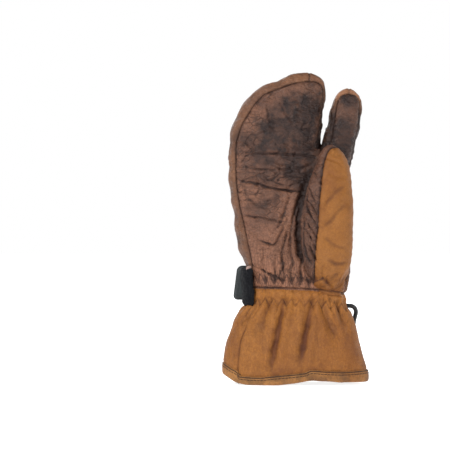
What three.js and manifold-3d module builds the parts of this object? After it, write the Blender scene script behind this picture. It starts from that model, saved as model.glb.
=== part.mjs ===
// A right-hand three-finger leather ski glove, standing on its cuff with the palm facing -Y.
//
// The glove is built in layers from the outside in: leather panels, insulation and a fleece
// lining. A gauntlet cuff with a turned hem carries the elasticated wrist, the hand, a shared
// pocket for three fingers (the mitten), a separate index finger and a thumb. A hook-and-loop
// strap crosses the back of the wrist and a snap hook hangs from a leather loop on the cuff.
//
// Frame, in millimetres: +Z up, -Y out of the palm, +X towards the thumb, origin on the
// ground under the middle of the glove.

import * as THREE from "three";
import { mergeVertices } from "three/addons/utils/BufferGeometryUtils.js";
import Module from "manifold-3d";

const wasm = await Module();
wasm.setup();

// ---------------------------------------------------------------- driving dimensions

const LEATHER = 1.2; // thickness of the outer hide
const PADDING = 5; // thickness of the insulation
const LINING = 1.2; // thickness of the fleece
const ELASTIC = 1.2; // thickness of the gathering elastics
const GAP = 0.4; // clearance between neighbouring layers
const SEAM_GAP = 0.3; // clearance between two panels at their seam
const ROUNDNESS = 2.4; // exponent of the rounded sections: 2 is an ellipse
const AROUND = 20; // facets round a section

const PADDING_OUT = LEATHER + GAP;
const PADDING_IN = PADDING_OUT + PADDING;
const LINING_OUT = PADDING_IN + GAP;
const LINING_IN = LINING_OUT + LINING;

const HEM_TOP = 11; // height of the turned hem
const WRIST_Z = 80; // height of the wrist's bending axis
const WRIST_SEAM_Z = 97; // where the palm is sewn to the cuff
const WRIST_BEVEL = THREE.MathUtils.degToRad(16); // slope of the ends that face each other at the wrist
const KNUCKLE_Z = 251; // height of the bending axis of the mitten and the index finger
const KNUCKLE_CURL = THREE.MathUtils.degToRad(60); // furthest curl that the palm leaves room for
const CROTCH_X = 25.6; // middle of the slot between mitten and index finger
const CROTCH_Z = 242; // foot of that slot
const THUMB_Z = 124; // height of the thumb's foot
const HAND_SEAM_INSET = 8; // from the silhouette to the seam of the palm and back panels
const INDEX_SEAM_INSET = 6;
const THUMB_SEAM_INSET = 9;
const CUFF_SEAM_X = -59; // seam of the cuff's side panel
const LOWER_ELASTIC = [63, 72]; // heights of the gathering elastics
const UPPER_ELASTIC = [99, 108];
const PILE_EDGE_X = -45; // edge of the loop pile on the little-finger side of the wrist
const GUSSET_FOOT_Z = 117; // where the strips down the two sides of the hand begin
const INDEX_ROOT_Z = 214; // seam at the root of the index finger
const BACK_SPLIT_Z = 186; // seam across the back, under the knuckles

const STRAP_LOW = 88;
const STRAP_HIGH = 119;
const STRAP_THICKNESS = 2;
const STRAP_END_X = -34; // where the strap leaves the wrist and its free end begins
const STRAP_TAB_LENGTH = 28;

const MIDDLE_X = -0.75; // the middle of the glove's box, in the coordinates of the shapes below
const MIDDLE_Y = -10.3;

const FAR = 400; // larger than the glove, for cutting blocks

const MATERIALS = {
  tan: { color: 0xa66c35, roughness: 0.7, metalness: 0 },
  brown: { color: 0x6a4637, roughness: 0.65, metalness: 0 },
  padding: { color: 0xe6e2d8, roughness: 0.95, metalness: 0 },
  fleece: { color: 0x8d8a84, roughness: 1, metalness: 0 },
  elastic: { color: 0xd9d4c8, roughness: 0.9, metalness: 0 },
  pile: { color: 0x17181b, roughness: 1, metalness: 0 },
  tab: { color: 0x3a4042, roughness: 0.6, metalness: 0 },
  hook: { color: 0x202224, roughness: 0.9, metalness: 0 },
  blackMetal: { color: 0x16171a, roughness: 0.35, metalness: 0.6 },
  steel: { color: 0xb9bcc0, roughness: 0.3, metalness: 1 },
};

// ---------------------------------------------------------------- curves and solids

// A smooth curve through [height, value] stations that never overshoots them.
function curve(stations) {
  const slopes = stations.map((station, i) => {
    if (i === 0 || i === stations.length - 1) {
      const [a, b] = i === 0 ? stations.slice(0, 2) : stations.slice(-2);
      return (b[1] - a[1]) / (b[0] - a[0]);
    }
    const before = (station[1] - stations[i - 1][1]) / (station[0] - stations[i - 1][0]);
    const after = (stations[i + 1][1] - station[1]) / (stations[i + 1][0] - station[0]);
    return before * after <= 0 ? 0 : (2 * before * after) / (before + after);
  });
  return (z) => {
    let i = stations.findIndex(([height]) => height >= z);
    i = i < 0 ? stations.length - 1 : Math.max(i, 1);
    const [z0, v0] = stations[i - 1];
    const [z1, v1] = stations[i];
    const span = z1 - z0;
    const t = THREE.MathUtils.clamp((z - z0) / span, 0, 1);
    const ease = t * t * (3 - 2 * t);
    const start = t * (1 - t) * (1 - t) * slopes[i - 1] * span;
    const end = t * t * (t - 1) * slopes[i] * span;
    return v0 + (v1 - v0) * ease + start + end;
  };
}

function toSolid(geometry) {
  const bare = geometry.index ? geometry.toNonIndexed() : geometry.clone();
  bare.deleteAttribute("normal");
  bare.deleteAttribute("uv");
  const merged = mergeVertices(bare, 1e-4);
  return new wasm.Manifold(
    new wasm.Mesh({
      numProp: 3,
      vertProperties: merged.attributes.position.array,
      triVerts: new Uint32Array(merged.index.array),
    }),
  );
}

function toGeometry(solid) {
  const mesh = solid.getMesh();
  const geometry = new THREE.BufferGeometry();
  geometry.setAttribute("position", new THREE.BufferAttribute(mesh.vertProperties, 3));
  geometry.setIndex(new THREE.BufferAttribute(mesh.triVerts, 1));
  geometry.computeVertexNormals();
  return geometry;
}

// A cutting block between two corners; an axis left out runs past the glove.
function block({ x = [-FAR, FAR], y = [-FAR, FAR], z = [-FAR, FAR] }) {
  const box = new THREE.BoxGeometry(x[1] - x[0], y[1] - y[0], z[1] - z[0]);
  box.translate((x[0] + x[1]) / 2, (y[0] + y[1]) / 2, (z[0] + z[1]) / 2);
  return toSolid(box);
}

const outline = (points) => new THREE.Shape(points.map(([a, b]) => new THREE.Vector2(a, b)));

// An outline in the X-Z plane, run along Y from y0 to y1.
function prismAlongY(shape, y0, y1) {
  const prism = new THREE.ExtrudeGeometry(shape, { depth: y1 - y0, bevelEnabled: false, curveSegments: 5 });
  prism.rotateX(Math.PI / 2);
  prism.translate(0, y1, 0);
  return toSolid(prism);
}

// An outline in the Y-Z plane, run along X through the whole glove.
function prismAlongX(points) {
  const prism = new THREE.ExtrudeGeometry(outline(points), { depth: 2 * FAR, bevelEnabled: false });
  prism.rotateX(Math.PI / 2);
  prism.rotateZ(Math.PI / 2);
  prism.translate(-FAR, 0, 0);
  return toSolid(prism);
}

// The points round a rounded section.
function around({ x, y, halfWidth, halfDepth }) {
  const bend = (value) => Math.sign(value) * Math.abs(value) ** (2 / ROUNDNESS);
  return Array.from({ length: AROUND }, (_, i) => {
    const angle = (2 * Math.PI * i) / AROUND;
    return [x + halfWidth * bend(Math.cos(angle)), y + halfDepth * bend(Math.sin(angle))];
  });
}

// A pouch: a body of rounded sections between the heights of its foot and its tip, whose four
// sides are curves. depth moves the surface inwards, which makes the layers inside each other.
class Pouch {
  constructor({ heights, left, right, front, back }) {
    this.heights = heights;
    this.foot = heights[0];
    this.tip = heights.at(-1);
    this.sides = [left, right, front, back].map(curve);
  }

  section(height, depth) {
    const [left, right, front, back] = this.sides.map((side) => side(height));
    const shrink = (half) => (half * half) / (half + depth);
    return {
      x: (left + right) / 2,
      y: (front + back) / 2,
      halfWidth: shrink((right - left) / 2),
      halfDepth: shrink((back - front) / 2),
      z: this.foot + ((height - this.foot) * (this.tip - this.foot - depth)) / (this.tip - this.foot),
    };
  }

  solid(depth) {
    const positions = [];
    const rings = this.heights.map((height) => this.section(height, depth));
    rings.forEach((ring) => around(ring).forEach(([x, y]) => positions.push(x, y, ring.z)));
    const index = [];
    for (let r = 0; r < rings.length - 1; r++) {
      for (let i = 0; i < AROUND; i++) {
        const a = r * AROUND + i;
        const b = r * AROUND + ((i + 1) % AROUND);
        index.push(a, b, b + AROUND, a, b + AROUND, a + AROUND);
      }
    }
    for (const [ring, up] of [[rings[0], false], [rings.at(-1), true]]) {
      const centre = positions.length / 3;
      const first = up ? (rings.length - 1) * AROUND : 0;
      positions.push(ring.x, ring.y, ring.z);
      for (let i = 0; i < AROUND; i++) {
        const a = first + i;
        const b = first + ((i + 1) % AROUND);
        index.push(...(up ? [centre, a, b] : [centre, b, a]));
      }
    }
    const geometry = new THREE.BufferGeometry();
    geometry.setAttribute("position", new THREE.Float32BufferAttribute(positions, 3));
    geometry.setIndex(index);
    return toSolid(geometry);
  }

  // The wall between two depths, open at the foot.
  shell(outer, inner) {
    return this.solid(outer).subtract(this.solid(inner)).subtract(this.mouth(inner));
  }

  // A short plug that opens the foot of a cavity cleanly.
  mouth(depth) {
    const low = this.section(this.foot, depth);
    const rim = around(low).map(([x, y]) => [x, y]);
    const plug = new THREE.ExtrudeGeometry(outline(rim), { depth: 2, bevelEnabled: false });
    plug.translate(0, 0, this.foot - 1);
    return toSolid(plug);
  }

  // The region inside the silhouette by inset, seen along Y, run from y0 to y1.
  seamPrism(inset, y0, y1) {
    const rings = this.heights.map((height) => this.section(height, inset));
    const low = [rings[0].x, this.foot - 5];
    const leftSide = rings.map((ring) => [ring.x - ring.halfWidth, ring.z]);
    const rightSide = rings.map((ring) => [ring.x + ring.halfWidth, ring.z]).reverse();
    const foot = [
      [rightSide.at(-1)[0], low[1]],
      [leftSide[0][0], low[1]],
    ];
    return prismAlongY(outline([...leftSide, ...rightSide, ...foot]), y0, y1);
  }
}

// Cuts a wall into the panel on the palm side, the one on the back, and the strip round the edge.
function panels(pouch, wall, inset, middleY) {
  const half = SEAM_GAP / 2;
  const inside = (y0, y1) => wall.intersect(pouch.seamPrism(inset + half, y0, y1));
  return {
    front: inside(-FAR, middleY),
    back: inside(middleY, FAR),
    strip: wall.subtract(pouch.seamPrism(inset - half, -FAR, FAR)),
  };
}

// ---------------------------------------------------------------- shapes of the pouches

const cuff = new Pouch({
  heights: [0, 26, 42, 56, 68, 80, 92],
  left: [[0, -75], [12, -75.2], [26, -74.2], [45, -70.5], [57, -65.5], [69, -59], [80, -51], [92, -50]],
  right: [[0, 73.5], [9, 72.5], [21, 69.5], [45, 62.5], [57, 59.5], [69, 55.5], [80, 50.5], [92, 49.5]],
  front: [[0, -31], [20, -31], [45, -29], [65, -26], [80, -22], [92, -21.5]],
  back: [[0, 31], [20, 31], [45, 29], [65, 26], [80, 22], [92, 22]],
});

const hand = new Pouch({
  heights: [70, 98, 110, 122, 135, 152, 190, 225, 264],
  left: [[70, -50], [98, -50.5], [112, -51.5], [123, -54], [135, -58.5], [150, -61], [170, -63], [190, -66.5],
    [207, -68.5], [225, -68], [243, -67.5], [264, -64.5]],
  right: [[70, 49.5], [98, 49.5], [110, 51], [130, 51.5], [170, 51], [200, 53], [213, 54.5], [225, 56.5],
    [243, 60.5], [264, 63.6]],
  front: [[70, -21.5], [98, -21.5], [120, -23], [150, -24], [180, -22.5], [220, -20], [264, -19]],
  back: [[70, 22], [98, 22], [120, 24], [160, 25], [200, 23.5], [230, 21], [264, 18]],
});

const mitten = new Pouch({
  heights: [240, 258, 273, 285, 294, 301, 307, 310.5, 312],
  left: [[240, -67.6], [251, -66.6], [261, -63.5], [273, -58.5], [285, -50.5], [291, -45.5], [297, -38.5],
    [303, -26.5], [309, -7.5], [312, 5]],
  right: [[240, 22.8], [251, 24], [267, 25.6], [285, 27.6], [297, 28.5], [303, 26.5], [309, 19.5], [312, 12]],
  front: [[240, -19.5], [275, -20.5], [292, -19.5], [303, -16], [309, -12], [312, -7.5]],
  back: [[240, 20.5], [251, 19], [275, 15.5], [292, 9.5], [303, 3.5], [309, -1], [312, -4.5]],
});

const index = new Pouch({
  heights: [240, 262, 278, 287, 293, 296.3, 297.5],
  left: [[240, 24.6], [251, 28.4], [261, 31.2], [273, 33.6], [285, 37.5], [291, 40.8], [295, 45],
    [297.5, 50.5]],
  right: [[240, 60], [251, 62], [261, 63.6], [273, 64.9], [285, 65.4], [291, 63], [295, 59], [297.5, 54.5]],
  front: [[240, -15.5], [251, -15.5], [270, -17], [285, -16.5], [291, -14], [295, -10.5], [297.5, -6]],
  back: [[240, 17.5], [251, 16.5], [270, 13], [285, 8.5], [291, 5], [295, 1], [297.5, -3]],
});

const thumb = new Pouch({
  heights: [108, 125, 145, 182, 206, 222, 232, 237.2, 239],
  left: [[108, 15], [118, 13.5], [130, 10.5], [145, 7.5], [165, 6], [180, 7], [195, 9.5], [208, 13.5],
    [220, 18], [230, 20.5], [236, 23.5], [239, 27]],
  right: [[108, 51.5], [118, 53.5], [135, 55.6], [165, 55.9], [190, 55], [205, 53.5], [215, 51], [225, 46.2],
    [232, 40.5], [236, 36], [239, 31]],
  front: [[108, -37], [118, -44], [140, -50], [170, -52], [200, -50], [225, -44.5], [235, -39.5],
    [239, -34.5]],
  back: [[108, -24.6], [118, -25], [148, -25.6], [180, -24.4], [200, -23.4], [225, -23.4], [235, -26.5],
    [239, -31]],
});

// The swelling at the root of the thumb, which grows out of the palm.
const thumbRoot = new Pouch({
  heights: [96, 104, 112, 124, 136],
  left: [[96, 18], [124, 12], [136, 9.5]],
  right: [[96, 48], [108, 51], [124, 54.2], [136, 55.5]],
  front: [[96, -21], [104, -29], [112, -38], [124, -46.5], [136, -49.5]],
  back: [[96, 0], [124, -6], [136, -8]],
});

// ---------------------------------------------------------------- cutting shapes

const aboveWrist = prismAlongX([
  [0, WRIST_Z + GAP],
  [FAR, WRIST_Z + GAP + FAR * Math.tan(WRIST_BEVEL)],
  [FAR, FAR],
  [-FAR, FAR],
  [-FAR, WRIST_Z + GAP + FAR * Math.tan(WRIST_BEVEL)],
]);
const belowWrist = prismAlongX([
  [0, WRIST_Z - GAP],
  [-FAR, WRIST_Z - GAP - FAR * Math.tan(WRIST_BEVEL)],
  [-FAR, -FAR],
  [FAR, -FAR],
  [FAR, WRIST_Z - GAP - FAR * Math.tan(WRIST_BEVEL)],
]);

// Room in front of the knuckles for a pouch of that half depth to curl forward into.
function knuckleNotch(halfDepth, x) {
  const drop = halfDepth * Math.sin(KNUCKLE_CURL) + 1.5;
  const back = halfDepth * Math.cos(KNUCKLE_CURL) + 1;
  const wedge = prismAlongX([
    [2, KNUCKLE_Z + 1],
    [0, KNUCKLE_Z - 1],
    [-back, KNUCKLE_Z - drop],
    [-FAR, KNUCKLE_Z - drop],
    [-FAR, KNUCKLE_Z + 1],
  ]);
  return wedge.intersect(block({ x }));
}

const mittenNotch = knuckleNotch(20, [-FAR, CROTCH_X]);
const indexNotch = knuckleNotch(17, [CROTCH_X - 1, FAR]);
const crotch = prismAlongY(
  outline([[CROTCH_X, CROTCH_Z], [CROTCH_X + 2.5, KNUCKLE_Z + 10], [CROTCH_X - 2.5, KNUCKLE_Z + 10]]),
  -FAR,
  FAR,
);
const belowKnuckles = block({ z: [0, KNUCKLE_Z - GAP] });
const aboveKnuckles = block({ z: [KNUCKLE_Z + GAP, FAR] });

const bends = [mittenNotch, indexNotch, crotch];
const handTrim = (wall) =>
  bends.reduce((solid, room) => solid.subtract(room), wall.intersect(aboveWrist).intersect(belowKnuckles));
const thumbPassage = block({ x: [22, 45], y: [-FAR, 0], z: [UPPER_ELASTIC[1] + 0.6, THUMB_Z + 16] });

// An elastic sewn in between the leather and the padding, and the padding with room for it.
function addElastic(add, elasticName, paddingName, layer, padding, [low, high]) {
  const elastic = layer(PADDING_OUT, PADDING_OUT + ELASTIC);
  const groove = layer(PADDING_OUT - GAP, PADDING_OUT + ELASTIC + GAP);
  add(elasticName, "elastic", elastic.intersect(block({ z: [low, high] })));
  add(paddingName, "padding", padding.subtract(groove.intersect(block({ z: [low - GAP, high + GAP] }))));
}

// ---------------------------------------------------------------- the cuff

function buildCuff(add) {
  const aboveHem = block({ z: [HEM_TOP + SEAM_GAP, FAR] });
  const body = (outer, inner) => cuff.shell(outer, inner).intersect(belowWrist);
  const leather = body(0, LEATHER).intersect(aboveHem);
  const front = leather.intersect(block({ y: [-FAR, 0], x: [CUFF_SEAM_X, FAR] }));
  const back = leather.intersect(block({ y: [SEAM_GAP, FAR], x: [CUFF_SEAM_X, FAR] }));
  add("cuff_front_panel", "tan", front);
  add("cuff_back_panel", "tan", back);
  add("cuff_side_panel", "tan", leather.intersect(block({ x: [-FAR, CUFF_SEAM_X - SEAM_GAP] })));

  const padding = body(PADDING_OUT, PADDING_IN).intersect(aboveHem);
  addElastic(add, "lower_wrist_elastic", "cuff_insulation", body, padding, LOWER_ELASTIC);
  add("cuff_lining", "fleece", body(LINING_OUT, LINING_IN).intersect(aboveHem));
  add("cuff_hem", "tan", cuff.shell(0, LINING_IN).intersect(block({ z: [0, HEM_TOP] })));
}

// ---------------------------------------------------------------- the hand

function buildHand(add) {
  const layer = (outer, inner) => handTrim(hand.shell(outer, inner));
  const leather = layer(0, LEATHER).subtract(thumbPassage);
  const aboveSeam = block({ z: [WRIST_SEAM_Z + SEAM_GAP, FAR] });
  const belowSeam = block({ z: [0, WRIST_SEAM_Z] });

  const band = leather.intersect(belowSeam);
  const pileZone = block({ x: [-FAR, PILE_EDGE_X], z: [0, GUSSET_FOOT_Z] });
  const notPile = block({ x: [PILE_EDGE_X + SEAM_GAP, FAR] });
  add("wrist_band_front", "tan", band.intersect(notPile).intersect(block({ y: [-FAR, 0] })));
  add("wrist_band_back", "tan", band.intersect(notPile).intersect(block({ y: [SEAM_GAP, FAR] })));
  add("wrist_pile_panel", "pile", leather.intersect(pileZone));

  const aboveCuff = leather.intersect(aboveSeam);
  const heel = aboveCuff.intersect(notPile).intersect(block({ z: [0, GUSSET_FOOT_Z] }));
  const upper = aboveCuff.intersect(block({ z: [GUSSET_FOOT_Z, FAR] }));
  const cut = panels(hand, upper, HAND_SEAM_INSET, 0);
  const mittenSide = block({ x: [-FAR, CROTCH_X - 0.5] });
  const indexSide = block({ x: [CROTCH_X + 0.5, FAR] });
  const belowIndex = block({ z: [0, INDEX_ROOT_Z] });
  const indexRoot = block({ x: [CROTCH_X + 0.5, FAR], z: [INDEX_ROOT_Z + SEAM_GAP, FAR] });
  const palm = cut.front.subtract(block({ x: [CROTCH_X, FAR], z: [INDEX_ROOT_Z, FAR] }));
  add("palm_panel", "brown", palm.add(heel.intersect(block({ y: [-FAR, 0] }))));
  add("index_palm_root", "brown", cut.front.intersect(indexRoot));
  const aboveHeel = cut.strip.intersect(block({ z: [GUSSET_FOOT_Z + SEAM_GAP, FAR] }));
  add("ulnar_gusset", "brown", aboveHeel.intersect(block({ x: [-FAR, 0] })));
  add("radial_gusset", "tan", aboveHeel.intersect(block({ x: [0, FAR] })).intersect(belowIndex));
  add("index_side_root", "brown", cut.strip.intersect(indexRoot));
  const backOfHand = cut.back.intersect(block({ z: [0, BACK_SPLIT_Z] }));
  const knuckles = cut.back.intersect(block({ z: [BACK_SPLIT_Z + SEAM_GAP, FAR] }));
  add("back_panel", "tan", backOfHand.add(heel.intersect(block({ y: [SEAM_GAP, FAR] }))));
  add("knuckle_panel", "brown", knuckles.intersect(mittenSide));
  add("index_back_root", "brown", knuckles.intersect(indexSide));

  const padding = layer(PADDING_OUT, PADDING_IN).subtract(thumbPassage);
  addElastic(add, "upper_wrist_elastic", "hand_insulation", layer, padding, UPPER_ELASTIC);
  add("hand_lining", "fleece", layer(LINING_OUT, LINING_IN).subtract(thumbPassage));
}

function buildThumbRoot(add) {
  const outside = (wall) =>
    wall.subtract(hand.solid(-GAP)).intersect(block({ z: [0, THUMB_Z - GAP] }));
  add("thumb_root_panel", "tan", outside(thumbRoot.shell(0, LEATHER)));
  add("thumb_root_insulation", "padding", outside(thumbRoot.shell(PADDING_OUT, PADDING_IN)));
}

// ---------------------------------------------------------------- fingers

function buildFinger(add, name, pouch, inset, colours) {
  const trim = (wall) => wall.intersect(aboveKnuckles);
  const middle = pouch === index ? -2 : -1;
  const cut = panels(pouch, trim(pouch.shell(0, LEATHER)), inset, middle);
  add(`${name}_palm_panel`, colours, cut.front);
  add(`${name}_back_panel`, colours, cut.back);
  add(`${name}_gusset`, colours, cut.strip);
  add(`${name}_insulation`, "padding", trim(pouch.shell(PADDING_OUT, PADDING_IN)));
  add(`${name}_lining`, "fleece", trim(pouch.shell(LINING_OUT, LINING_IN)));
}

function buildThumb(add) {
  const aboveRoot = block({ z: [THUMB_Z + GAP, FAR] });
  const trim = (wall) => wall.intersect(aboveRoot);
  const leather = trim(thumb.shell(0, LEATHER));
  const half = SEAM_GAP / 2;
  // The tan panel covers the front inside the seam, and runs round the outer edge below the tip.
  const tanRegion = (grow) => {
    const middleY = -34 + grow;
    const front = thumb.seamPrism(THUMB_SEAM_INSET - grow, -FAR, middleY);
    return front.add(block({ x: [40 - grow, FAR], y: [-FAR, middleY], z: [0, 222 + grow] }));
  };
  add("thumb_outer_panel", "tan", leather.intersect(tanRegion(-half)));
  add("thumb_inner_panel", "brown", leather.subtract(tanRegion(half)));
  add("thumb_insulation", "padding", trim(thumb.shell(PADDING_OUT, PADDING_IN)));
  add("thumb_lining", "fleece", trim(thumb.shell(LINING_OUT, LINING_IN)));
}

// Leather that folds or stretches where the glove bends, in the room left for the motion.
function buildFoldingLeather(add) {
  const skin = hand.shell(0, LEATHER);
  const slope = Math.tan(WRIST_BEVEL);
  const wedge = (side) =>
    prismAlongX([
      [side * 10, WRIST_Z - 10 * slope],
      [side * FAR, WRIST_Z - FAR * slope],
      [side * FAR, WRIST_Z + FAR * slope],
      [side * 10, WRIST_Z + 10 * slope],
    ]);
  const wristFold = skin.intersect(block({ x: [-44, 44] }));
  add("wrist_fold_front", "tan", wristFold.intersect(wedge(-1)));
  add("wrist_fold_back", "tan", wristFold.intersect(wedge(1)));

  const underKnuckles = skin.intersect(block({ y: [-FAR, -4], z: [0, KNUCKLE_Z - GAP] }));
  const crease = (notch, x) =>
    underKnuckles.intersect(notch.translate([0, 0, SEAM_GAP])).intersect(block({ x }));
  add("mitten_crease", "brown", crease(mittenNotch, [-60, CROTCH_X - 4]));
  add("index_crease", "brown", crease(indexNotch, [CROTCH_X + 4, 56]));
}

// ---------------------------------------------------------------- strap and clip

function buildStrap(add) {
  const wrap = hand.shell(-GAP - STRAP_THICKNESS, -GAP);
  const zone = block({ x: [STRAP_END_X, 36], y: [0, FAR], z: [STRAP_LOW, STRAP_HIGH] });
  add("wrist_strap", "tan", wrap.intersect(zone));

  const tabY = hand.sides[3](STRAP_HIGH) - 2.5;
  const plate = (y0, y1, inset, radius) => {
    const x0 = STRAP_END_X - GAP - STRAP_TAB_LENGTH + inset;
    const x1 = STRAP_END_X - GAP - inset;
    const [z0, z1] = [STRAP_LOW - 3 + inset, STRAP_HIGH + 1 - inset];
    const shape = new THREE.Shape();
    shape.moveTo(x1, z0);
    shape.lineTo(x1, z1);
    shape.lineTo(x0 + radius, z1);
    shape.quadraticCurveTo(x0, z1, x0, z1 - radius);
    shape.lineTo(x0, z0 + radius);
    shape.quadraticCurveTo(x0, z0, x0 + radius, z0);
    shape.closePath();
    return prismAlongY(shape, y0, y1);
  };
  add("strap_tab", "tab", plate(tabY, tabY + 1.8, 0, 5));
  add("strap_hook_pad", "hook", plate(tabY - 1.6, tabY - SEAM_GAP, 2, 4));
}

function buildClip(add) {
  const y = 25;
  const rod = 1.6;
  const [left, right, low, high] = [47.5, 59, 51, 79];
  const corner = 5;
  const gateTop = 64;
  // The frame runs from the nose on the left, over the top and down the right to the gate's pin.
  const path = new THREE.CurvePath();
  const at = (x, z) => new THREE.Vector3(x, y, z);
  const straight = (from, to) => path.add(new THREE.LineCurve3(from, to));
  const turn = (from, middle, to) => path.add(new THREE.QuadraticBezierCurve3(from, middle, to));
  straight(at(left, gateTop + 1), at(left, high - corner));
  turn(at(left, high - corner), at(left, high), at(left + corner, high));
  straight(at(left + corner, high), at(right - corner, high));
  turn(at(right - corner, high), at(right, high), at(right, high - corner));
  straight(at(right, high - corner), at(right, low + corner));
  turn(at(right, low + corner), at(right, low), at(right - corner, low));
  straight(at(right - corner, low), at(left + 0.5, low));
  const round = new THREE.Shape();
  round.absarc(0, 0, rod, 0, 2 * Math.PI);
  const frame = new THREE.ExtrudeGeometry(round, { steps: 40, extrudePath: path, curveSegments: 5 });
  const pinBore = (radius) => {
    const hole = new THREE.CylinderGeometry(radius, radius, 8, 16);
    hole.translate(left, y, low);
    return toSolid(hole);
  };
  // A forked foot takes the end of the gate between two ears.
  const ears = block({ x: [left - 2, left + 3.2], y: [y - 2.6, y + 2.6], z: [low - 2, low + 2] });
  const slot = block({ x: [left - 3, left + 2.2], y: [y - 1.2, y + 1.2], z: [low - 3, low + 3] });
  const body = toSolid(frame).subtract(block({ x: [left - 5, left + 2.4], z: [low - 3, low + 3] }));
  add("clip_frame", "blackMetal", body.add(ears.subtract(slot)).subtract(pinBore(0.75)));

  const gateRod = new THREE.CapsuleGeometry(0.9, gateTop - low - 1.4, 3, 10);
  gateRod.rotateX(Math.PI / 2);
  gateRod.translate(left, y, (gateTop + low) / 2);
  add("clip_gate", "steel", toSolid(gateRod).subtract(pinBore(0.6)));
  const pin = new THREE.CylinderGeometry(0.5, 0.5, 6, 12);
  pin.translate(left, y, low);
  add("clip_gate_pin", "steel", toSolid(pin));

  // The leather loop is sewn to the back of the cuff and bent round the frame's upper left side.
  const bend = new THREE.Shape();
  const loopOut = 3.6;
  const footY = y + 0.7;
  bend.moveTo(26, footY - 1.4);
  bend.lineTo(38, footY - 1.2);
  bend.lineTo(left, y - loopOut);
  bend.absarc(left, y, loopOut, -Math.PI / 2, Math.PI / 2, false);
  bend.lineTo(38, footY + 1.8);
  bend.lineTo(26, footY + 1.6);
  bend.closePath();
  const eye = new THREE.Path();
  const loopIn = 2.3;
  eye.moveTo(41, y - 0.4);
  eye.lineTo(left, y + loopIn);
  eye.absarc(left, y, loopIn, Math.PI / 2, -Math.PI / 2, true);
  eye.closePath();
  bend.holes.push(eye);
  const loop = new THREE.ExtrudeGeometry(bend, { depth: 10, bevelEnabled: false, curveSegments: 6 });
  loop.translate(0, 0, 66.5);
  add("clip_loop", "brown", toSolid(loop));
}

// ---------------------------------------------------------------- the glove

const glove = new THREE.Group();
glove.position.set(-MIDDLE_X, -MIDDLE_Y, 0);

function addMesh(name, materialName, solid) {
  const mesh = new THREE.Mesh(toGeometry(solid), new THREE.MeshStandardMaterial(MATERIALS[materialName]));
  mesh.name = name;
  glove.add(mesh);
}

buildCuff(addMesh);
buildHand(addMesh);
buildThumbRoot(addMesh);
buildFinger(addMesh, "mitten", mitten, HAND_SEAM_INSET, "brown");
buildFinger(addMesh, "index", index, INDEX_SEAM_INSET, "brown");
buildThumb(addMesh);
buildFoldingLeather(addMesh);
buildStrap(addMesh);
buildClip(addMesh);

export default glove;
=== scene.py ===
"""A right-hand three-finger leather ski glove, dressed round its CAD frame.

Shapes are worked out in glove millimetres: the CAD coordinates before the glove was centred, with
+Z up, -Y out of the palm and +X towards the thumb. to_frame() turns them into the frame's metres.
"""

import itertools
import math

import bpy
import numpy as np
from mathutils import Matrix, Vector
from mathutils.bvhtree import BVHTree
from mathutils.kdtree import KDTree


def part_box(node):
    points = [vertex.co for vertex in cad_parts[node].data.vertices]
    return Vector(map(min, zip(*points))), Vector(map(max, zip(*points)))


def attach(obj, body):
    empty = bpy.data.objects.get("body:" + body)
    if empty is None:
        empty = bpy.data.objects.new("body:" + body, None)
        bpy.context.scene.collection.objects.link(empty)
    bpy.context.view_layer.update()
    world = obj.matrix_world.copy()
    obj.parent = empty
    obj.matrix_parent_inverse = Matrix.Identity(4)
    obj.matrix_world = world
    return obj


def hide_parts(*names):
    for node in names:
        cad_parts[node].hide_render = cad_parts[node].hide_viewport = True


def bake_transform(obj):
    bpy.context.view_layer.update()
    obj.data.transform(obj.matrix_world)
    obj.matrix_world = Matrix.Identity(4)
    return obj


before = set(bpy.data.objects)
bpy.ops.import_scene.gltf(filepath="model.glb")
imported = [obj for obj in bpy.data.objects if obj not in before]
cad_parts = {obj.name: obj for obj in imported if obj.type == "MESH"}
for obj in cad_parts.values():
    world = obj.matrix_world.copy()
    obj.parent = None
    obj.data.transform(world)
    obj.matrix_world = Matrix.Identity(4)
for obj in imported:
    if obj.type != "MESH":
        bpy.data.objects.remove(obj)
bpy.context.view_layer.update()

HEM_LOW, HEM_HIGH = (np.array(corner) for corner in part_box("cuff_hem"))
HEM_MIDDLE = (-0.75, 0.0)  # middle of the hem, in glove millimetres
SHIFT = np.append((HEM_LOW + HEM_HIGH)[:2] / 2 - np.array(HEM_MIDDLE) / 1000, 0)

# ---------------------------------------------------------------- driving dimensions, in mm

COARSE = 4.5  # size of the mesh that the cloth simulation works on
HAND_VOXEL = 1.35  # size of the hand's mesh before its last subdivision
THUMB_VOXEL = 1.3
CUFF_STEP = 0.85
WRIST_SEAM_Z = 97
BACK_SPLIT_Z = 186
INDEX_ROOT_Z = 211
LOWER_ZIGZAG = (79, 86.5)
UPPER_ZIGZAG = (101, 111)
ZIGZAG_PITCH = 9
FAR = 99  # stands for no seam nearby
SNAP = 0.45  # vertices this near a seam are moved onto it
STRAP_THICK = 2.0
STRAP_LEVEL = 104  # the height at which the strap takes the shape of the wrist
THREAD_RADIUS = 0.38
CLIP_Y = 25
CLIP_LEFT, CLIP_RIGHT, CLIP_LOW, CLIP_HIGH = 47.5, 62.4, 51, 77.4
CLIP_CORNER = 7
CLIP_ROD = 2.2
GATE_TOP = 64

# ---------------------------------------------------------------- other numbers

RELAX_ROUNDS = 6
CLOTH_FRAMES = 20
# How the cloth simulation treats the leather that the padding presses on.
LEATHER_CLOTH = {
    "quality": 6,
    "mass": 0.35,
    "tension_stiffness": 25,
    "compression_stiffness": 25,
    "shear_stiffness": 12,
    "bending_stiffness": 1.5,
    "use_pressure": True,
    "uniform_pressure_force": 4,
}
FLOOR_Z = -0.0004  # in metres, as is the dome's radius
DOME_RADIUS = 12

# ---------------------------------------------------------------- curves, noise and meshes


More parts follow.
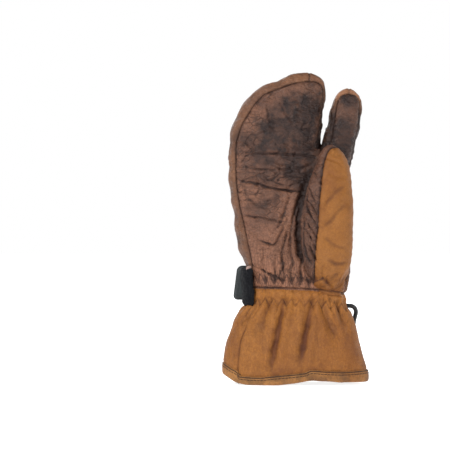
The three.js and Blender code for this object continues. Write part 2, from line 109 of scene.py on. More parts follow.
def curve(*stations):
    """A smooth function through (position, value) stations that never overshoots them."""
    at, value = np.array(stations, float).T
    secant = np.diff(value) / np.diff(at)
    slope = np.concatenate([secant[:1], np.zeros(len(at) - 2), secant[-1:]])
    before, after = secant[:-1], secant[1:]
    turning = before * after <= 0
    total = np.where(turning, 1, before + after)
    slope[1:-1] = np.where(turning, 0, 2 * before * after / total)

    def read(x):
        i = np.clip(np.searchsorted(at, x) - 1, 0, len(at) - 2)
        span = at[i + 1] - at[i]
        t = np.clip((x - at[i]) / span, 0, 1)
        ends = slope[i] * t * (1 - t) ** 2 - slope[i + 1] * t * t * (1 - t)
        return value[i] + (value[i + 1] - value[i]) * t * t * (3 - 2 * t) + ends * span

    return read


def fade(x, low, high):
    """0 below low, 1 above high, and a smooth step between them; low may be the larger."""
    t = np.clip((x - low) / (high - low), 0, 1)
    return t * t * (3 - 2 * t)


def bell(x, width):
    """1 at nought, falling off smoothly on both sides."""
    return np.exp(-((x / width) ** 2))


GRADIENTS = np.random.RandomState(7).normal(size=(256, 3))
GRADIENTS /= np.linalg.norm(GRADIENTS, axis=1)[:, None]


def noise(points, size, seed=0, stretch=(1, 1, 1)):
    """Gradient noise between about -1 and 1, whose lumps are size times stretch, in mm."""
    scaled = points / (size * np.array(stretch, float))
    cell = np.floor(scaled).astype(np.int64)
    inside = scaled - cell
    ease = inside**3 * (inside * (inside * 6 - 15) + 10)
    total = np.zeros(len(points))
    for corner in itertools.product((0, 1), repeat=3):
        step = np.array(corner)
        c = cell + step
        key = (c[:, 0] * 73856093) ^ (c[:, 1] * 19349663) ^ (c[:, 2] * 83492791) ^ (seed * 49979693)
        gradient = GRADIENTS[((key >> 3) ^ (key >> 11)) & 255]
        weight = np.prod(np.where(step, ease, 1 - ease), axis=1)
        total += weight * np.sum(gradient * (inside - step), axis=1)
    return total * 1.6


def rough(points, size, octaves, seed=0, stretch=(1, 1, 1)):
    """Noise with finer and weaker noise added to it."""
    layers = range(octaves)
    return sum(noise(points, size / 2**k, seed + k, stretch) / 2**k for k in layers)


def smooth_line(points, closed=False):
    """A smooth line through the points, sampled eight times between each two."""
    points = np.array(points, float)
    if closed:
        padded = np.vstack([points[-1:], points, points[:2]])
    else:
        padded = np.vstack([2 * points[0] - points[1], points, 2 * points[-1] - points[-2]])
    found = []
    for a, b, c, d in zip(padded, padded[1:], padded[2:], padded[3:]):
        for t in np.arange(8) / 8:
            even = 2 * b + (c - a) * t + (2 * a - 5 * b + 4 * c - d) * t**2
            found.append((even + (3 * b - a - 3 * c + d) * t**3) / 2)
    if not closed:
        found.append(points[-1])
    return np.array(found)


def lengths_along(line):
    """How far along a line each of its points is."""
    return np.concatenate([[0], np.cumsum(np.linalg.norm(np.diff(line, axis=0), axis=1))])


def nearest_on(points, line):
    """Each point's distance from a line in the plane, how far along it that is, and the nearest point."""
    starts = lengths_along(line)
    best = np.full(len(points), np.inf)
    along = np.zeros(len(points))
    nearest = np.zeros_like(points)
    for a, b, start, length in zip(line, line[1:], starts, np.diff(starts)):
        t = np.clip(((points - a) @ (b - a)) / max(length**2, 1e-9), 0, 1)
        foot = a + t[:, None] * (b - a)
        d = np.linalg.norm(points - foot, axis=1)
        nearer = d < best
        best[nearer] = d[nearer]
        along[nearer] = (start + t * length)[nearer]
        nearest[nearer] = foot[nearer]
    return best, along, nearest


def is_inside(points, loop):
    """Which points of the plane lie inside a closed loop."""
    inside = np.zeros(len(points), bool)
    for a, b in zip(loop, loop[1:]):
        spans = (a[1] > points[:, 1]) != (b[1] > points[:, 1])
        rise = b[1] - a[1] if b[1] != a[1] else 1
        crossing = a[0] + (points[:, 1] - a[1]) * (b[0] - a[0]) / rise
        inside ^= spans & (points[:, 0] < crossing)
    return inside


def crease(points, line, depth, width, ridge=0.35, end_width=None):
    """A fold pressed along a line seen from the front: a valley between low ridges, fading at its ends."""
    line = smooth_line(line)
    reach = 4 * max(width, end_width or width)
    flat = points[:, [0, 2]]
    near = np.all((flat > line.min(0) - reach) & (flat < line.max(0) + reach), axis=1)
    amount = np.zeros(len(points))
    if not near.any():
        return amount
    wander = np.stack([noise(points[near], 9, 31), noise(points[near], 9, 32)], axis=1) * 1.1
    distance, along, _ = nearest_on(flat[near] + wander, line)
    along = along / along.max()
    wide = width + ((end_width or width) - width) * along
    taper = np.sqrt(np.clip(np.sin(np.pi * np.clip(along, 0.02, 0.98)) * 1.5, 0, 1))
    sides = ridge * bell(distance - 2.1 * wide, 1.1 * wide)
    amount[near] = depth * taper * (sides - bell(distance, wide))
    return amount


class Pouch:
    """A body of rounded sections whose four sides are curves of height."""

    def __init__(self, left, right, front, back, roundness=2.4):
        self.sides = [curve(*side) for side in (left, right, front, back)]
        self.power = 2 / roundness

    def at(self, angle, z, inset=0):
        left, right, front, back = (side(z) for side in self.sides)
        half_x = (right - left) / 2 - inset
        half_y = (back - front) / 2 - inset
        x = (left + right) / 2 + half_x * np.sign(np.cos(angle)) * np.abs(np.cos(angle)) ** self.power
        y = (front + back) / 2 + half_y * np.sign(np.sin(angle)) * np.abs(np.sin(angle)) ** self.power
        return np.stack(np.broadcast_arrays(x, y, z), axis=-1)

    def closed(self, low, high, step=2.0, around=72, inset=0):
        """Vertices and faces of the closed body between two heights."""
        rings = max(int((high - low) / step), 3)
        z = np.linspace(low, high, rings)[:, None]
        angle = np.linspace(0, 2 * np.pi, around, endpoint=False)[None, :]
        return self.at(angle, z, inset).reshape(-1, 3), capped_faces(rings, around)


def turns(count):
    """Angles evenly spaced round a section, in one row."""
    return np.linspace(-np.pi, np.pi, count, endpoint=False)[None, :]


def grid_faces(rows, columns):
    """Faces of a grid whose rows go upwards and whose columns go round, facing outwards."""
    row, column = (index.ravel() for index in np.indices((rows - 1, columns)))
    following = (column + 1) % columns
    below, above = row * columns, (row + 1) * columns
    return np.stack([below + column, below + following, above + following, above + column], axis=1)


def capped_faces(rows, columns):
    """The faces of such a grid, with a flat cap at each end."""
    last = (rows - 1) * columns
    caps = [list(range(columns))[::-1], list(range(last, last + columns))]
    return grid_faces(rows, columns).tolist() + caps


def ring_faces(rows, columns):
    """The faces of such a grid whose last row is joined to its first."""
    last = (rows - 1) * columns
    closing = [[last + k, last + (k + 1) % columns, (k + 1) % columns, k] for k in range(columns)]
    return grid_faces(rows, columns).tolist() + closing


def joined(parts):
    """Several (vertices, faces) as one."""
    points, faces, offset = [], [], 0
    for part_points, part_faces in parts:
        points.append(part_points)
        faces += [[i + offset for i in face] for face in part_faces]
        offset += len(part_points)
    return np.vstack(points), faces


def to_frame(points):
    """Glove millimetres turned into the frame's metres."""
    return np.asarray(points, float) / 1000 + SHIFT


def new_object(name, points, faces):
    """An object in the scene, from vertices in its own units and faces."""
    mesh = bpy.data.meshes.new(name)
    faces = faces.tolist() if isinstance(faces, np.ndarray) else faces
    mesh.from_pydata(np.asarray(points, float).tolist(), [], faces)
    mesh.validate()
    obj = bpy.data.objects.new(name, mesh)
    bpy.context.scene.collection.objects.link(obj)
    return obj


def arrays(obj):
    """An object's vertices and four-sided faces with its modifiers applied; the object is removed."""
    evaluated = obj.evaluated_get(bpy.context.evaluated_depsgraph_get())
    mesh = evaluated.to_mesh()
    points = np.empty(len(mesh.vertices) * 3)
    mesh.vertices.foreach_get("co", points)
    faces = np.array([list(p.vertices) for p in mesh.polygons if len(p.vertices) == 4])
    evaluated.to_mesh_clear()
    data = obj.data
    bpy.data.objects.remove(obj)
    bpy.data.meshes.remove(data)
    return points.reshape(-1, 3), faces


def normals_of(points, faces):
    """The vertex normals of a mesh of four-sided faces."""
    corner = points[faces]
    face_normal = np.cross(corner[:, 2] - corner[:, 0], corner[:, 3] - corner[:, 1])
    total = np.zeros_like(points)
    for k, axis in itertools.product(range(4), range(3)):
        total[:, axis] += np.bincount(faces[:, k], face_normal[:, axis], len(points))
    return total / np.maximum(np.linalg.norm(total, axis=1), 1e-12)[:, None]


def relax(points, faces, rounds):
    """Moves each vertex halfway to the middle of its neighbours, a number of times."""
    edges = np.concatenate([faces[:, [k, (k + 1) % 4]] for k in range(4)])
    count = np.maximum(np.bincount(edges[:, 0], minlength=len(points)), 1)
    for _ in range(rounds):
        total = [np.bincount(edges[:, 0], points[edges[:, 1], axis], len(points)) for axis in range(3)]
        points = points + (np.stack(total, axis=1) / count[:, None] - points) * 0.5
    return points


def fused(bodies, voxel):
    """One even mesh round several overlapping closed bodies."""
    obj = new_object("scratch", *joined(bodies))
    remesh = obj.modifiers.new("even", "REMESH")
    remesh.mode = "VOXEL"
    remesh.voxel_size = voxel
    return arrays(obj)


def subdivided(points, faces):
    """The mesh with each face split in four and smoothed."""
    obj = new_object("scratch", points, faces)
    obj.modifiers.new("finer", "SUBSURF").levels = 1
    return arrays(obj)


def swell(points, faces, held, limit):
    """How far each vertex moves when padding presses the leather out between its held seams."""
    obj = new_object("scratch", points / 1000, faces)
    group = obj.vertex_groups.new(name="held")
    for index in np.flatnonzero(held > 0.01):
        group.add([int(index)], float(held[index]), "REPLACE")
    cloth = obj.modifiers.new("cloth", "CLOTH")
    settings = cloth.settings
    for key, value in LEATHER_CLOTH.items():
        setattr(settings, key, value)
    settings.vertex_group_mass = "held"
    settings.effector_weights.gravity = 0
    scene = bpy.context.scene
    for number in range(1, CLOTH_FRAMES + 1):
        scene.frame_set(number)
    moved, _ = arrays(obj)
    scene.frame_set(1)
    shift = moved * 1000 - points
    length = np.linalg.norm(shift, axis=1)
    return shift * np.minimum(1, limit / np.maximum(length, 1e-9))[:, None]


def carried_over(shift, coarse, fine):
    """The coarse mesh's movement, read at the fine mesh's vertices."""
    tree = KDTree(len(coarse))
    for i, point in enumerate(coarse):
        tree.insert(point, i)
    tree.balance()
    result = np.zeros_like(fine)
    for i, point in enumerate(fine):
        near = tree.find_n(point, 5)
        weight = np.array([1 / (d * d + 0.5) for _, _, d in near])
        result[i] = weight @ shift[[k for _, k, _ in near]] / weight.sum()
    return result


# ---------------------------------------------------------------- shapes of the pouches

HAND = Pouch(
    left=[(92, -44.2), (106, -44.8), (114, -47), (122, -51.5), (130, -56), (140, -59.4), (155, -61.8),
          (170, -62.8), (183, -65), (200, -67.4), (215, -68.2), (240, -67.2)],
    right=[(92, 48.6), (103, 51.4), (112, 54.6), (120, 54.8), (128, 54.2), (160, 53.6), (200, 53.4),
           (213, 54), (240, 59)],
    front=[(92, -19.5), (99, -20.5), (120, -23), (150, -24), (180, -22.5), (215, -20), (240, -17.5)],
    back=[(92, 20), (99, 21), (120, 23.5), (160, 24.5), (200, 23), (240, 18)],
)
MITTEN = Pouch(
    left=[(190, -62), (215, -67.8), (235, -67.6), (250, -66.8), (261, -64), (273, -58.8), (285, -51),
          (291, -46), (297, -38.6), (303, -26.5), (306.5, -16), (309.5, -9), (314, 1)],
    right=[(190, 14), (215, 20), (235, 24), (243, 24.3), (251, 24.9), (267, 26.4), (285, 28.6), (296, 30.2),
           (304, 28.4), (310.5, 20.5), (314, 9)],
    front=[(190, -18), (215, -19.4), (240, -19.2), (275, -20.2), (292, -19), (304, -15.5), (310.5, -11.5),
           (314, -7)],
    back=[(190, 20), (215, 20.5), (240, 20), (251, 18.5), (275, 15), (292, 9.2), (304, 3.2), (310.5, -1.2),
          (314, -4.5)],
)
INDEX = Pouch(
    left=[(190, 24), (215, 24.3), (235, 25), (243, 27.4), (251, 29.4), (261, 32), (273, 34.2), (285, 37.8),
          (291, 41.4), (295, 45.4), (297.5, 50.5)],
    right=[(190, 51), (213, 54.2), (225, 56.4), (237, 59.2), (251, 62.2), (261, 64.3), (273, 65.8),
           (283, 66.2), (290, 64), (295, 59.6), (297.5, 55)],
    front=[(190, -14), (215, -16.5), (251, -15.5), (270, -16.5), (285, -16), (291, -13.5), (295, -10),
           (297.5, -6)],
    back=[(190, 17), (215, 18.5), (251, 16), (270, 12.5), (285, 8), (291, 4.5), (295, 0.6), (297.5, -3)],
)
THUMB_HEEL = Pouch(
    left=[(98, 20), (112, 15), (125, 9), (150, 4), (190, 9), (205, 16)],
    right=[(98, 46), (125, 50), (190, 49), (205, 46)],
    front=[(98, -20), (108, -25), (125, -30), (160, -30), (190, -26), (205, -18)],
    back=[(98, 0), (205, 0)],
)
THUMB = Pouch(
    left=[(93, 20), (98, 18), (104, 14), (118, 8.5), (125, 6.8), (143, 4.4), (163, 5.2), (180, 7),
          (194, 9.2), (211, 14.5), (222, 19), (230, 22), (236, 25.6), (240, 31)],
    right=[(93, 45.5), (98, 46.8), (104, 47.6), (111, 49), (124, 53.2), (143, 55), (174, 55.2), (204, 53.4),
           (215, 51.6), (225, 48.6), (232, 44.8), (236, 41.4), (240, 36)],
    front=[(93, -19.5), (97, -21.5), (101, -26), (107, -32), (114, -38), (124, -43.5), (140, -48.5),
           (170, -51), (200, -49.5), (218, -46.5), (230, -42.5), (236, -38.5), (240, -34)],
    back=[(93, -3), (104, -8), (114, -14), (124, -20), (140, -25), (170, -25), (200, -24), (225, -24),
          (236, -28), (240, -31.5)],
    roundness=2.3,
)
CUFF = Pouch(
    left=[(0, -73.8), (9, -74), (21, -73.6), (33, -72.4), (45, -69.6), (57, -64.8), (66, -61), (75, -55.5),
          (80, -51), (85, -48), (91, -46.4), (97, -45), (103, -43)],
    right=[(0, 73.4), (9, 73), (17, 71.4), (27, 68.2), (39, 64.6), (51, 62.2), (63, 58.8), (72, 55.8),
           (80, 51.8), (87, 51.6), (94, 50.4), (97, 49.6), (103, 47.5)],
    front=[(0, -30), (20, -30), (45, -28), (65, -25), (80, -21), (90, -21.2), (97, -20), (103, -18)],
    back=[(0, 30), (20, 30), (45, 28), (65, 25), (80, 21), (90, 21.2), (97, 20), (103, 18)],
    roundness=2.3,
)
LINING = Pouch(
    left=[(6, -69.2), (20, -66.5), (45, -60), (65, -51), (80, -42), (97, -37), (130, -46), (170, -52),
          (215, -56), (232, -50)],
    right=[(6, 67), (20, 62.5), (45, 53), (65, 47), (80, 41), (97, 40), (130, 43), (215, 44), (232, 40)],
    front=[(6, -25.4), (20, -24.5), (45, -21), (80, -13), (97, -12.5), (150, -15), (215, -12), (232, -8)],
    back=[(6, 25.4), (20, 24.5), (45, 21), (80, 13), (97, 12.5), (150, 15), (215, 13), (232, 9)],
)

# Seams seen from the front, as (x, z); the panels on the back have the same outlines.
PALM_SEAM = smooth_line([
    (-41, 88), (-43, 104), (-45, 123), (-50, 148), (-53.5, 164), (-57.5, 181), (-60.5, 204), (-61, 236),
    (-58.5, 250), (-51, 267), (-35, 288.5), (-17, 297), (-1, 302.5), (13, 304.2), (21.6, 303), (26.4, 298),
    (27, 287), (24.8, 264), (22.8, 246), (25.5, 232), (28.5, 221), (33, 213.5), (44, 210.5), (46.5, 190),
    (46, 150), (43.5, 88),
], closed=True)
INDEX_SEAM = smooth_line([
    (34.5, 242), (37.5, 260), (40.2, 279), (42.3, 286.5), (46, 290.6), (56, 291.4), (62, 288), (63.6, 280),
    (62.4, 262), (58.4, 240), (53.5, 221), (44, 212.5), (35, 215), (30.5, 222.5), (29, 232),
], closed=True)
THUMB_SEAM = smooth_line([
    (17, 84), (17.2, 112), (18.4, 143), (20.2, 156), (21, 174), (23.6, 204), (26, 219), (28.8, 229),
    (33, 235.4), (39.4, 236.8), (46, 231.8), (50.6, 223.4), (53.6, 214), (60, 206),
])
# Folds in the palm: the line as (x, z), the depth and the width.
PALM_FOLDS = [
    ([(-60, 205), (-40, 201), (-22, 196), (-4, 193.5), (5, 193)], 1.7, 1.1),
    ([(-56, 171), (-36, 167), (-16, 163)], 1.2, 1.0),
    ([(-39, 146), (-29, 142), (-21, 142), (-12, 159)], 1.4, 1.2),
    ([(-56, 229), (-30, 231.5), (0, 231), (25, 228)], 1.3, 1.0),
    ([(-60, 219), (-30, 215.5), (12, 218)], 1.1, 1.0),
    ([(-46, 120), (-38, 117), (-26, 110), (-14, 105)], 1.3, 1.2),
    ([(-30, 282), (-27, 262), (-19, 252)], 0.9, 1.2),
    ([(-17, 285), (-12, 274), (-4, 262)], 0.9, 1.1),
    ([(-52, 190), (-38, 179), (-24, 183), (-14, 187)], 0.8, 1.6),
    ([(-6, 192), (-12, 172), (-24, 150)], 1.0, 1.5),
    ([(3, 190), (-3, 168), (-6, 146), (-4, 120)], 1.5, 1.5),
    ([(-7, 160), (-14, 134), (-12, 108)], 1.3, 1.3),
    ([(-20, 134), (-22, 118), (-20, 102)], 1.1, 1.2),
    ([(-33, 140), (-34, 122), (-31, 104)], 0.9, 1.2),
    ([(7, 130), (4, 116), (6, 102)], 1.3, 1.2),
]
# Folds in the back of the hand.
KNUCKLE_FOLDS = [
    ([(-52, 252), (-20, 249), (18, 253)], 1.1, 2.0),
    ([(-50, 262), (-20, 260), (16, 263)], 0.7, 1.8),
    ([(33, 250), (45, 248), (57, 252)], 0.9, 1.8),
    ([(-50, 128), (-20, 122), (10, 126), (40, 120)], 1.0, 2.2),
    ([(-46, 112), (-15, 108), (20, 112), (44, 108)], 0.9, 2.0),
]
# The deep line between the palm and the thumb, and the folds in the thumb.
THUMB_VALLEY = [(12, 209), (7.5, 196), (3.5, 178), (1.5, 158), (2.5, 138), (8, 124), (16, 112)]
THUMB_FOLDS = [
    ([(6.5, 166), (5, 150), (8, 132), (17, 118)], 2.0, 1.5),
    ([(10, 196), (9, 180), (13, 166), (18, 158)], 1.2, 1.4),
    ([(12, 150), (13, 136), (18, 126)], 0.9, 1.3),
    ([(26, 178), (36, 190), (47, 199)], 1.2, 2.8),
    ([(24, 156), (36, 168), (48, 182)], 1.1, 3.0),
    ([(26, 150), (36, 140), (47, 136)], 0.9, 2.8),
    ([(30, 126), (40, 121), (51, 122)], 1.0, 2.4),
    ([(24, 108), (31, 101), (36, 95)], 1.0, 1.6),
]
# Fine slanted wrinkles on the thumb's inner side and across its tip.
THUMB_WRINKLES = [([(7, top), (13, top - 11), (20, top - 23)], 1.3, 0.9)
                  for top in (203, 191, 180, 168, 157, 146)] + [
    ([(14, 216), (20, 206), (25, 198)], 1.1, 1.0),
    ([(28, 226), (34, 224), (43, 220)], 0.7, 1.3),
    ([(27, 214), (38, 208), (51, 207)], 0.6, 2.2),
]
# Folds in the cuff: the line, the depth, and the width at its start and at its end.
CUFF_FOLDS = [
    ([(-13, 84), (-15.5, 70), (-20.5, 45), (-26, 16)], 3.6, 2.6, 4.2),
    ([(15, 84), (12.5, 68), (8, 46), (3, 22)], 3.3, 2.4, 4.4),
    ([(-27, 84), (-31, 70), (-38, 52)], 1.5, 2.0, 4.0),
    ([(-3, 84), (-4, 70), (-7, 56)], 1.5, 2.0, 4.0),
    ([(27, 84), (31, 68), (38, 50)], 1.6, 2.0, 5.0),
    ([(38, 86), (43, 74), (48, 62)], 1.2, 1.8, 3.0),
    ([(-38, 84), (-45, 72), (-54, 62)], 1.3, 1.8, 3.0),
    ([(-52, 45), (-38, 33), (-30, 26)], 0.8, 2.4, 4.0),
]
CUFF_BACK_FOLDS = [
    ([(-20, 86), (-24, 66), (-34, 40)], 2.4, 2.4, 6),
    ([(2, 86), (0, 64), (-4, 36)], 2.6, 2.4, 6),
    ([(24, 86), (30, 68), (44, 46)], 2.0, 2.4, 5),
    ([(-36, 84), (-44, 70), (-54, 56)], 1.4, 2.0, 4),
]
# Places where use has darkened the palm: (x, z), the reach and the strength.
STAINS = [
    ((-20, 254), 17, 0.95), ((8, 267), 16, 0.85), ((10, 288), 12, 0.35), ((-40, 236), 14, 0.3),
    ((0, 228), 16, 0.4), ((-30, 207), 17, 0.3), ((-34, 176), 12, 0.5), ((14, 240), 14, 0.5),
    ((51, 288), 6, 1.0), ((46, 256), 9, 0.45), ((43, 236), 12, 0.75), ((4, 205), 14, 0.4),
    ((17, 180), 14, 0.3),
]


# ---------------------------------------------------------------- materials


class Nodes:
    """A short way to write a material's node tree."""

    def __init__(self, name):
        self.material = bpy.data.materials.new(name)
        self.material.use_nodes = True
        self.tree = self.material.node_tree
        self.shader = self.tree.nodes["Principled BSDF"]
        self.place = self.add("ShaderNodeTexCoord").outputs["Object"]

    def add(self, kind, inputs=None, **settings):
        node = self.tree.nodes.new(kind)
        for key, value in settings.items():
            setattr(node, key, value)
        for key, value in (inputs or {}).items():
            self.set(node.inputs[key], value)
        return node

    def set(self, socket, value):
        if isinstance(value, bpy.types.NodeSocket):
            self.tree.links.new(value, socket)
        else:
            socket.default_value = value

    def stretched(self, scale, turn=(0, 0, 0)):
        node = self.add("ShaderNodeMapping", {"Vector": self.place, "Scale": scale, "Rotation": turn})
        return node.outputs["Vector"]

    def warped(self, scale, amount, stretch):
        """The place moved about by noise, so that what is drawn there isn't regular."""
        inputs = {"Vector": self.place, "Scale": scale, "Detail": 3}
        wobble = self.add("ShaderNodeTexNoise", inputs).outputs["Color"]
        moved = self.add("ShaderNodeVectorMath", {0: wobble, 1: (amount,) * 3}, operation="MULTIPLY")
        total = self.add("ShaderNodeVectorMath", {0: self.place, 1: moved.outputs[0]}, operation="ADD")
        return self.add("ShaderNodeMapping", {"Vector": total.outputs[0], "Scale": stretch}).outputs["Vector"]

    def noise(self, scale, detail=3, roughness=0.5, distortion=0, vector=None):
        inputs = {"Vector": vector or self.place, "Scale": scale, "Detail": detail}
        inputs.update({"Roughness": roughness, "Distortion": distortion})
        return self.add("ShaderNodeTexNoise", inputs).outputs["Fac"]

    def cells(self, scale, vector=None, feature="DISTANCE_TO_EDGE"):
        inputs = {"Vector": vector or self.place, "Scale": scale}
        return self.add("ShaderNodeTexVoronoi", inputs, feature=feature).outputs["Distance"]

    def remap(self, value, low, high, to_low=0.0, to_high=1.0):
        inputs = {"Value": value, "From Min": low, "From Max": high, "To Min": to_low, "To Max": to_high}
        return self.add("ShaderNodeMapRange", inputs).outputs["Result"]

    def math(self, operation, a, b):
        return self.add("ShaderNodeMath", {0: a, 1: b}, operation=operation).outputs[0]

    def mix(self, amount, a, b):
        node = self.add("ShaderNodeMix", data_type="RGBA")
        self.set(node.inputs[0], amount)
        self.set(node.inputs[6], a)
        self.set(node.inputs[7], b)
        return node.outputs[2]

    def attribute(self, name):
        return self.add("ShaderNodeAttribute", attribute_name=name).outputs["Fac"]

    def bump(self, height, distance, strength=1.0, normal=None):
        inputs = {"Height": height, "Distance": distance, "Strength": strength}
        if normal is not None:
            inputs["Normal"] = normal
        return self.add("ShaderNodeBump", inputs).outputs["Normal"]

    def finish(self, colour, roughness, normal, **sockets):
        self.set(self.shader.inputs["Base Color"], colour)
        self.set(self.shader.inputs["Roughness"], roughness)
        if normal is not None:
            self.set(self.shader.inputs["Normal"], normal)
        for key, value in sockets.items():
            self.set(self.shader.inputs[key.replace("_", " ")], value)
        return self.material


def linear(red, green, blue):
    """A colour given as a screen shows it, turned into the linear values that a shader takes."""
    channels = [c / 255 for c in (red, green, blue)]
    return (*[c / 12.92 if c <= 0.04045 else ((c + 0.055) / 1.055) ** 2.4 for c in channels], 1.0)


def times(colour, factor):
    """A lighter or darker colour."""
    return (*[c * factor for c in colour[:3]], 1.0)


def leather(name, middle, dark, light, line, grain, gloss, streak=(1, 1, 1), wrinkled=1.0):
    """Hide with blotches, pores, and the tone attribute's use marks, painted shade and lighter places;
    painted highlights on raised places, and painted shade in grooves, folds and a net of wrinkles.
    """
    n = Nodes(name)
    middle, dark, light, line = (linear(*colour) for colour in (middle, dark, light, line))
    tone = n.attribute("tone")
    blotch = n.remap(n.noise(26, 5, 0.62, 0.6, n.stretched(streak)), 0.36, 0.66)
    colour = n.mix(blotch, light, middle)
    colour = n.mix(n.remap(n.noise(70, 4, 0.6, 0.3), 0.52, 0.74, 0, 0.5), colour, dark)
    # Painted highlight: raised places, read from the relief attribute, are painted lighter.
    colour = n.mix(n.remap(n.attribute("relief"), 0.2, 1.3, 0.0, 0.45), colour, light)
    colour = n.mix(n.remap(n.noise(grain * 0.55, 3, 0.6), 0.35, 0.65, 0.0, 0.3), colour, dark)

    wide = n.cells(125, n.warped(55, 0.010, (0.75, 0.75, 1.5)))
    fine = n.cells(290, n.warped(120, 0.004, (0.8, 0.8, 1.3)))
    upright = n.cells(250, n.warped(50, 0.009, (1.7, 1.7, 0.15)))
    where = n.remap(n.noise(45, 3, 0.6), 0.4, 0.6, 0.1, 1.0)
    # Painted highlight on the ridges beside the lines of the coarse wrinkle net.
    wrinkle_highlight = n.math("MULTIPLY", n.remap(wide, 0.1, 0.26, 0.4 * wrinkled, 0.0), where)
    colour = n.mix(wrinkle_highlight, colour, light)
    # The tone attribute paints places lighter below nought and darker above it; its dark side holds use marks
    # and painted shade.
    colour = n.mix(n.remap(tone, 0.0, -1.0, 0.0, 0.9), colour, times(light, 1.45))
    uneven = n.remap(n.noise(90, 4, 0.65, 0.8), 0.3, 0.7, 0.7, 1.12)
    colour = n.mix(n.math("MULTIPLY", tone, uneven), colour, dark)
    height = n.add("ShaderNodeSeparateXYZ", {"Vector": n.place}).outputs["Z"]
    # Painted shade in the lines of the wrinkle net, coarse and fine; the coarse lines are weaker low down.
    away = n.math("MULTIPLY", where, n.remap(height, 0.11, 0.17, 0.3, 1.0))
    lines = n.math("MULTIPLY", n.remap(wide, 0.0, 0.09, 0.8 * wrinkled, 0.0), away)
    lines = n.math("MAXIMUM", lines, n.remap(fine, 0.0, 0.1, 0.3 * wrinkled, 0.0))
    colour = n.mix(lines, colour, line)
    # Painted shade in the upright crinkles gathered at the wrist.
    at_wrist = n.remap(height, 0.112, 0.165, 0.6 * wrinkled, 0.0)
    gather = n.math("MULTIPLY", n.remap(upright, 0.0, 0.12), at_wrist)
    colour = n.mix(n.math("SUBTRACT", at_wrist, gather), colour, line)
    # Painted shade in grooves and folds, where the relief attribute dips.
    colour = n.mix(n.remap(n.attribute("relief"), -1.5, -0.2, 0.9, 0.0), colour, line)
    pores = n.cells(grain)
    colour = n.mix(n.remap(pores, 0.0, 0.09, 0.3, 0.0), colour, line)

    swell_height = n.math("MULTIPLY", n.remap(wide, 0.0, 0.3), where)
    normal = n.bump(swell_height, 0.0014, 0.8 * wrinkled)
    normal = n.bump(gather, 0.0012, 0.6, normal)
    normal = n.bump(n.remap(fine, 0.0, 0.25), 0.0004, 0.6 * wrinkled, normal)
    normal = n.bump(n.noise(150, 6, 0.72, 1.2, n.stretched((1, 1, 1.9))), 0.0009, 0.5, normal)
    normal = n.bump(n.remap(pores, 0, 0.16), 0.00018, 0.7, normal)
    roughness = n.remap(n.noise(120, 4, 0.6), 0.3, 0.7, gloss - 0.08, gloss + 0.12)
    return n.finish(colour, roughness, normal, Specular_IOR_Level=0.26)


def thread(name, *colour):
    colour = linear(*colour)
    n = Nodes(name)
    twist = n.add("ShaderNodeTexWave", {"Vector": n.place, "Scale": 520, "Distortion": 2.0}).outputs["Fac"]
    shade = n.mix(n.remap(twist, 0.2, 0.8), times(colour, 0.55), colour)
    return n.finish(shade, 0.7, n.bump(twist, 0.0002, 0.6), Specular_IOR_Level=0.3)


def pile(name):
    n = Nodes(name)
    loops = n.cells(900, feature="F1")
    tufts = n.noise(320, 5, 0.75, 1.0)
    colour = n.mix(n.remap(tufts, 0.35, 0.7), linear(5, 5, 8), linear(16, 17, 21))
    colour = n.mix(n.remap(loops, 0.1, 0.6, 0.4, 0.0), colour, linear(26, 26, 33))
    normal = n.bump(tufts, 0.0014, 1.0, n.bump(loops, 0.0006, 0.8))
    return n.finish(colour, 0.95, normal, Sheen_Weight=0.03, Sheen_Roughness=0.6, Specular_IOR_Level=0.12)


def hook_tape(name):
    n = Nodes(name)
    turned = n.stretched((1, 1, 1), (0, 0.09, 0))
    waves = {"Vector": turned, "Scale": 210, "Distortion": 0.6}
    rows, columns = (n.add("ShaderNodeTexWave", waves, bands_direction=way).outputs["Fac"] for way in "ZX")
    hooks = n.math("MULTIPLY", rows, columns)
    haze = n.remap(n.noise(60, 4, 0.6), 0.3, 0.7)
    colour = n.mix(haze, linear(34, 41, 43), linear(54, 60, 62))
    colour = n.mix(n.remap(hooks, 0.1, 0.7, 0.4, 0.0), colour, linear(20, 24, 27))
    return n.finish(colour, 0.55, n.bump(hooks, 0.0006, 0.6), Specular_IOR_Level=0.4)


def fleece(name, dark, light):
    n = Nodes(name)
    curls = n.noise(420, 6, 0.8, 1.5)
    clumps = n.noise(90, 4, 0.7, 0.5)
    colour = n.mix(n.remap(curls, 0.3, 0.7), dark, light)
    colour = n.mix(n.remap(clumps, 0.35, 0.65, 0.0, 0.5), colour, dark)
    normal = n.bump(curls, 0.0018, 0.9, n.bump(clumps, 0.003, 0.5))
    return n.finish(colour, 1.0, normal, Sheen_Weight=0.4, Sheen_Roughness=0.7, Specular_IOR_Level=0.1)


def metal(name, colour, roughness, metallic, wear):
    n = Nodes(name)
    scratches = n.noise(300, 6, 0.7, 0.4, n.stretched((1, 1, 0.15)))
    scuffs = n.noise(140, 5, 0.7)
    shade = n.mix(n.remap(scuffs, 0.58, 0.72, 0.0, wear), colour, linear(120, 122, 126))
    polish = n.remap(scratches, 0.3, 0.7, roughness - 0.08, roughness + 0.15)
    return n.finish(shade, polish, n.bump(scratches, 0.00008, 0.5), Metallic=metallic)


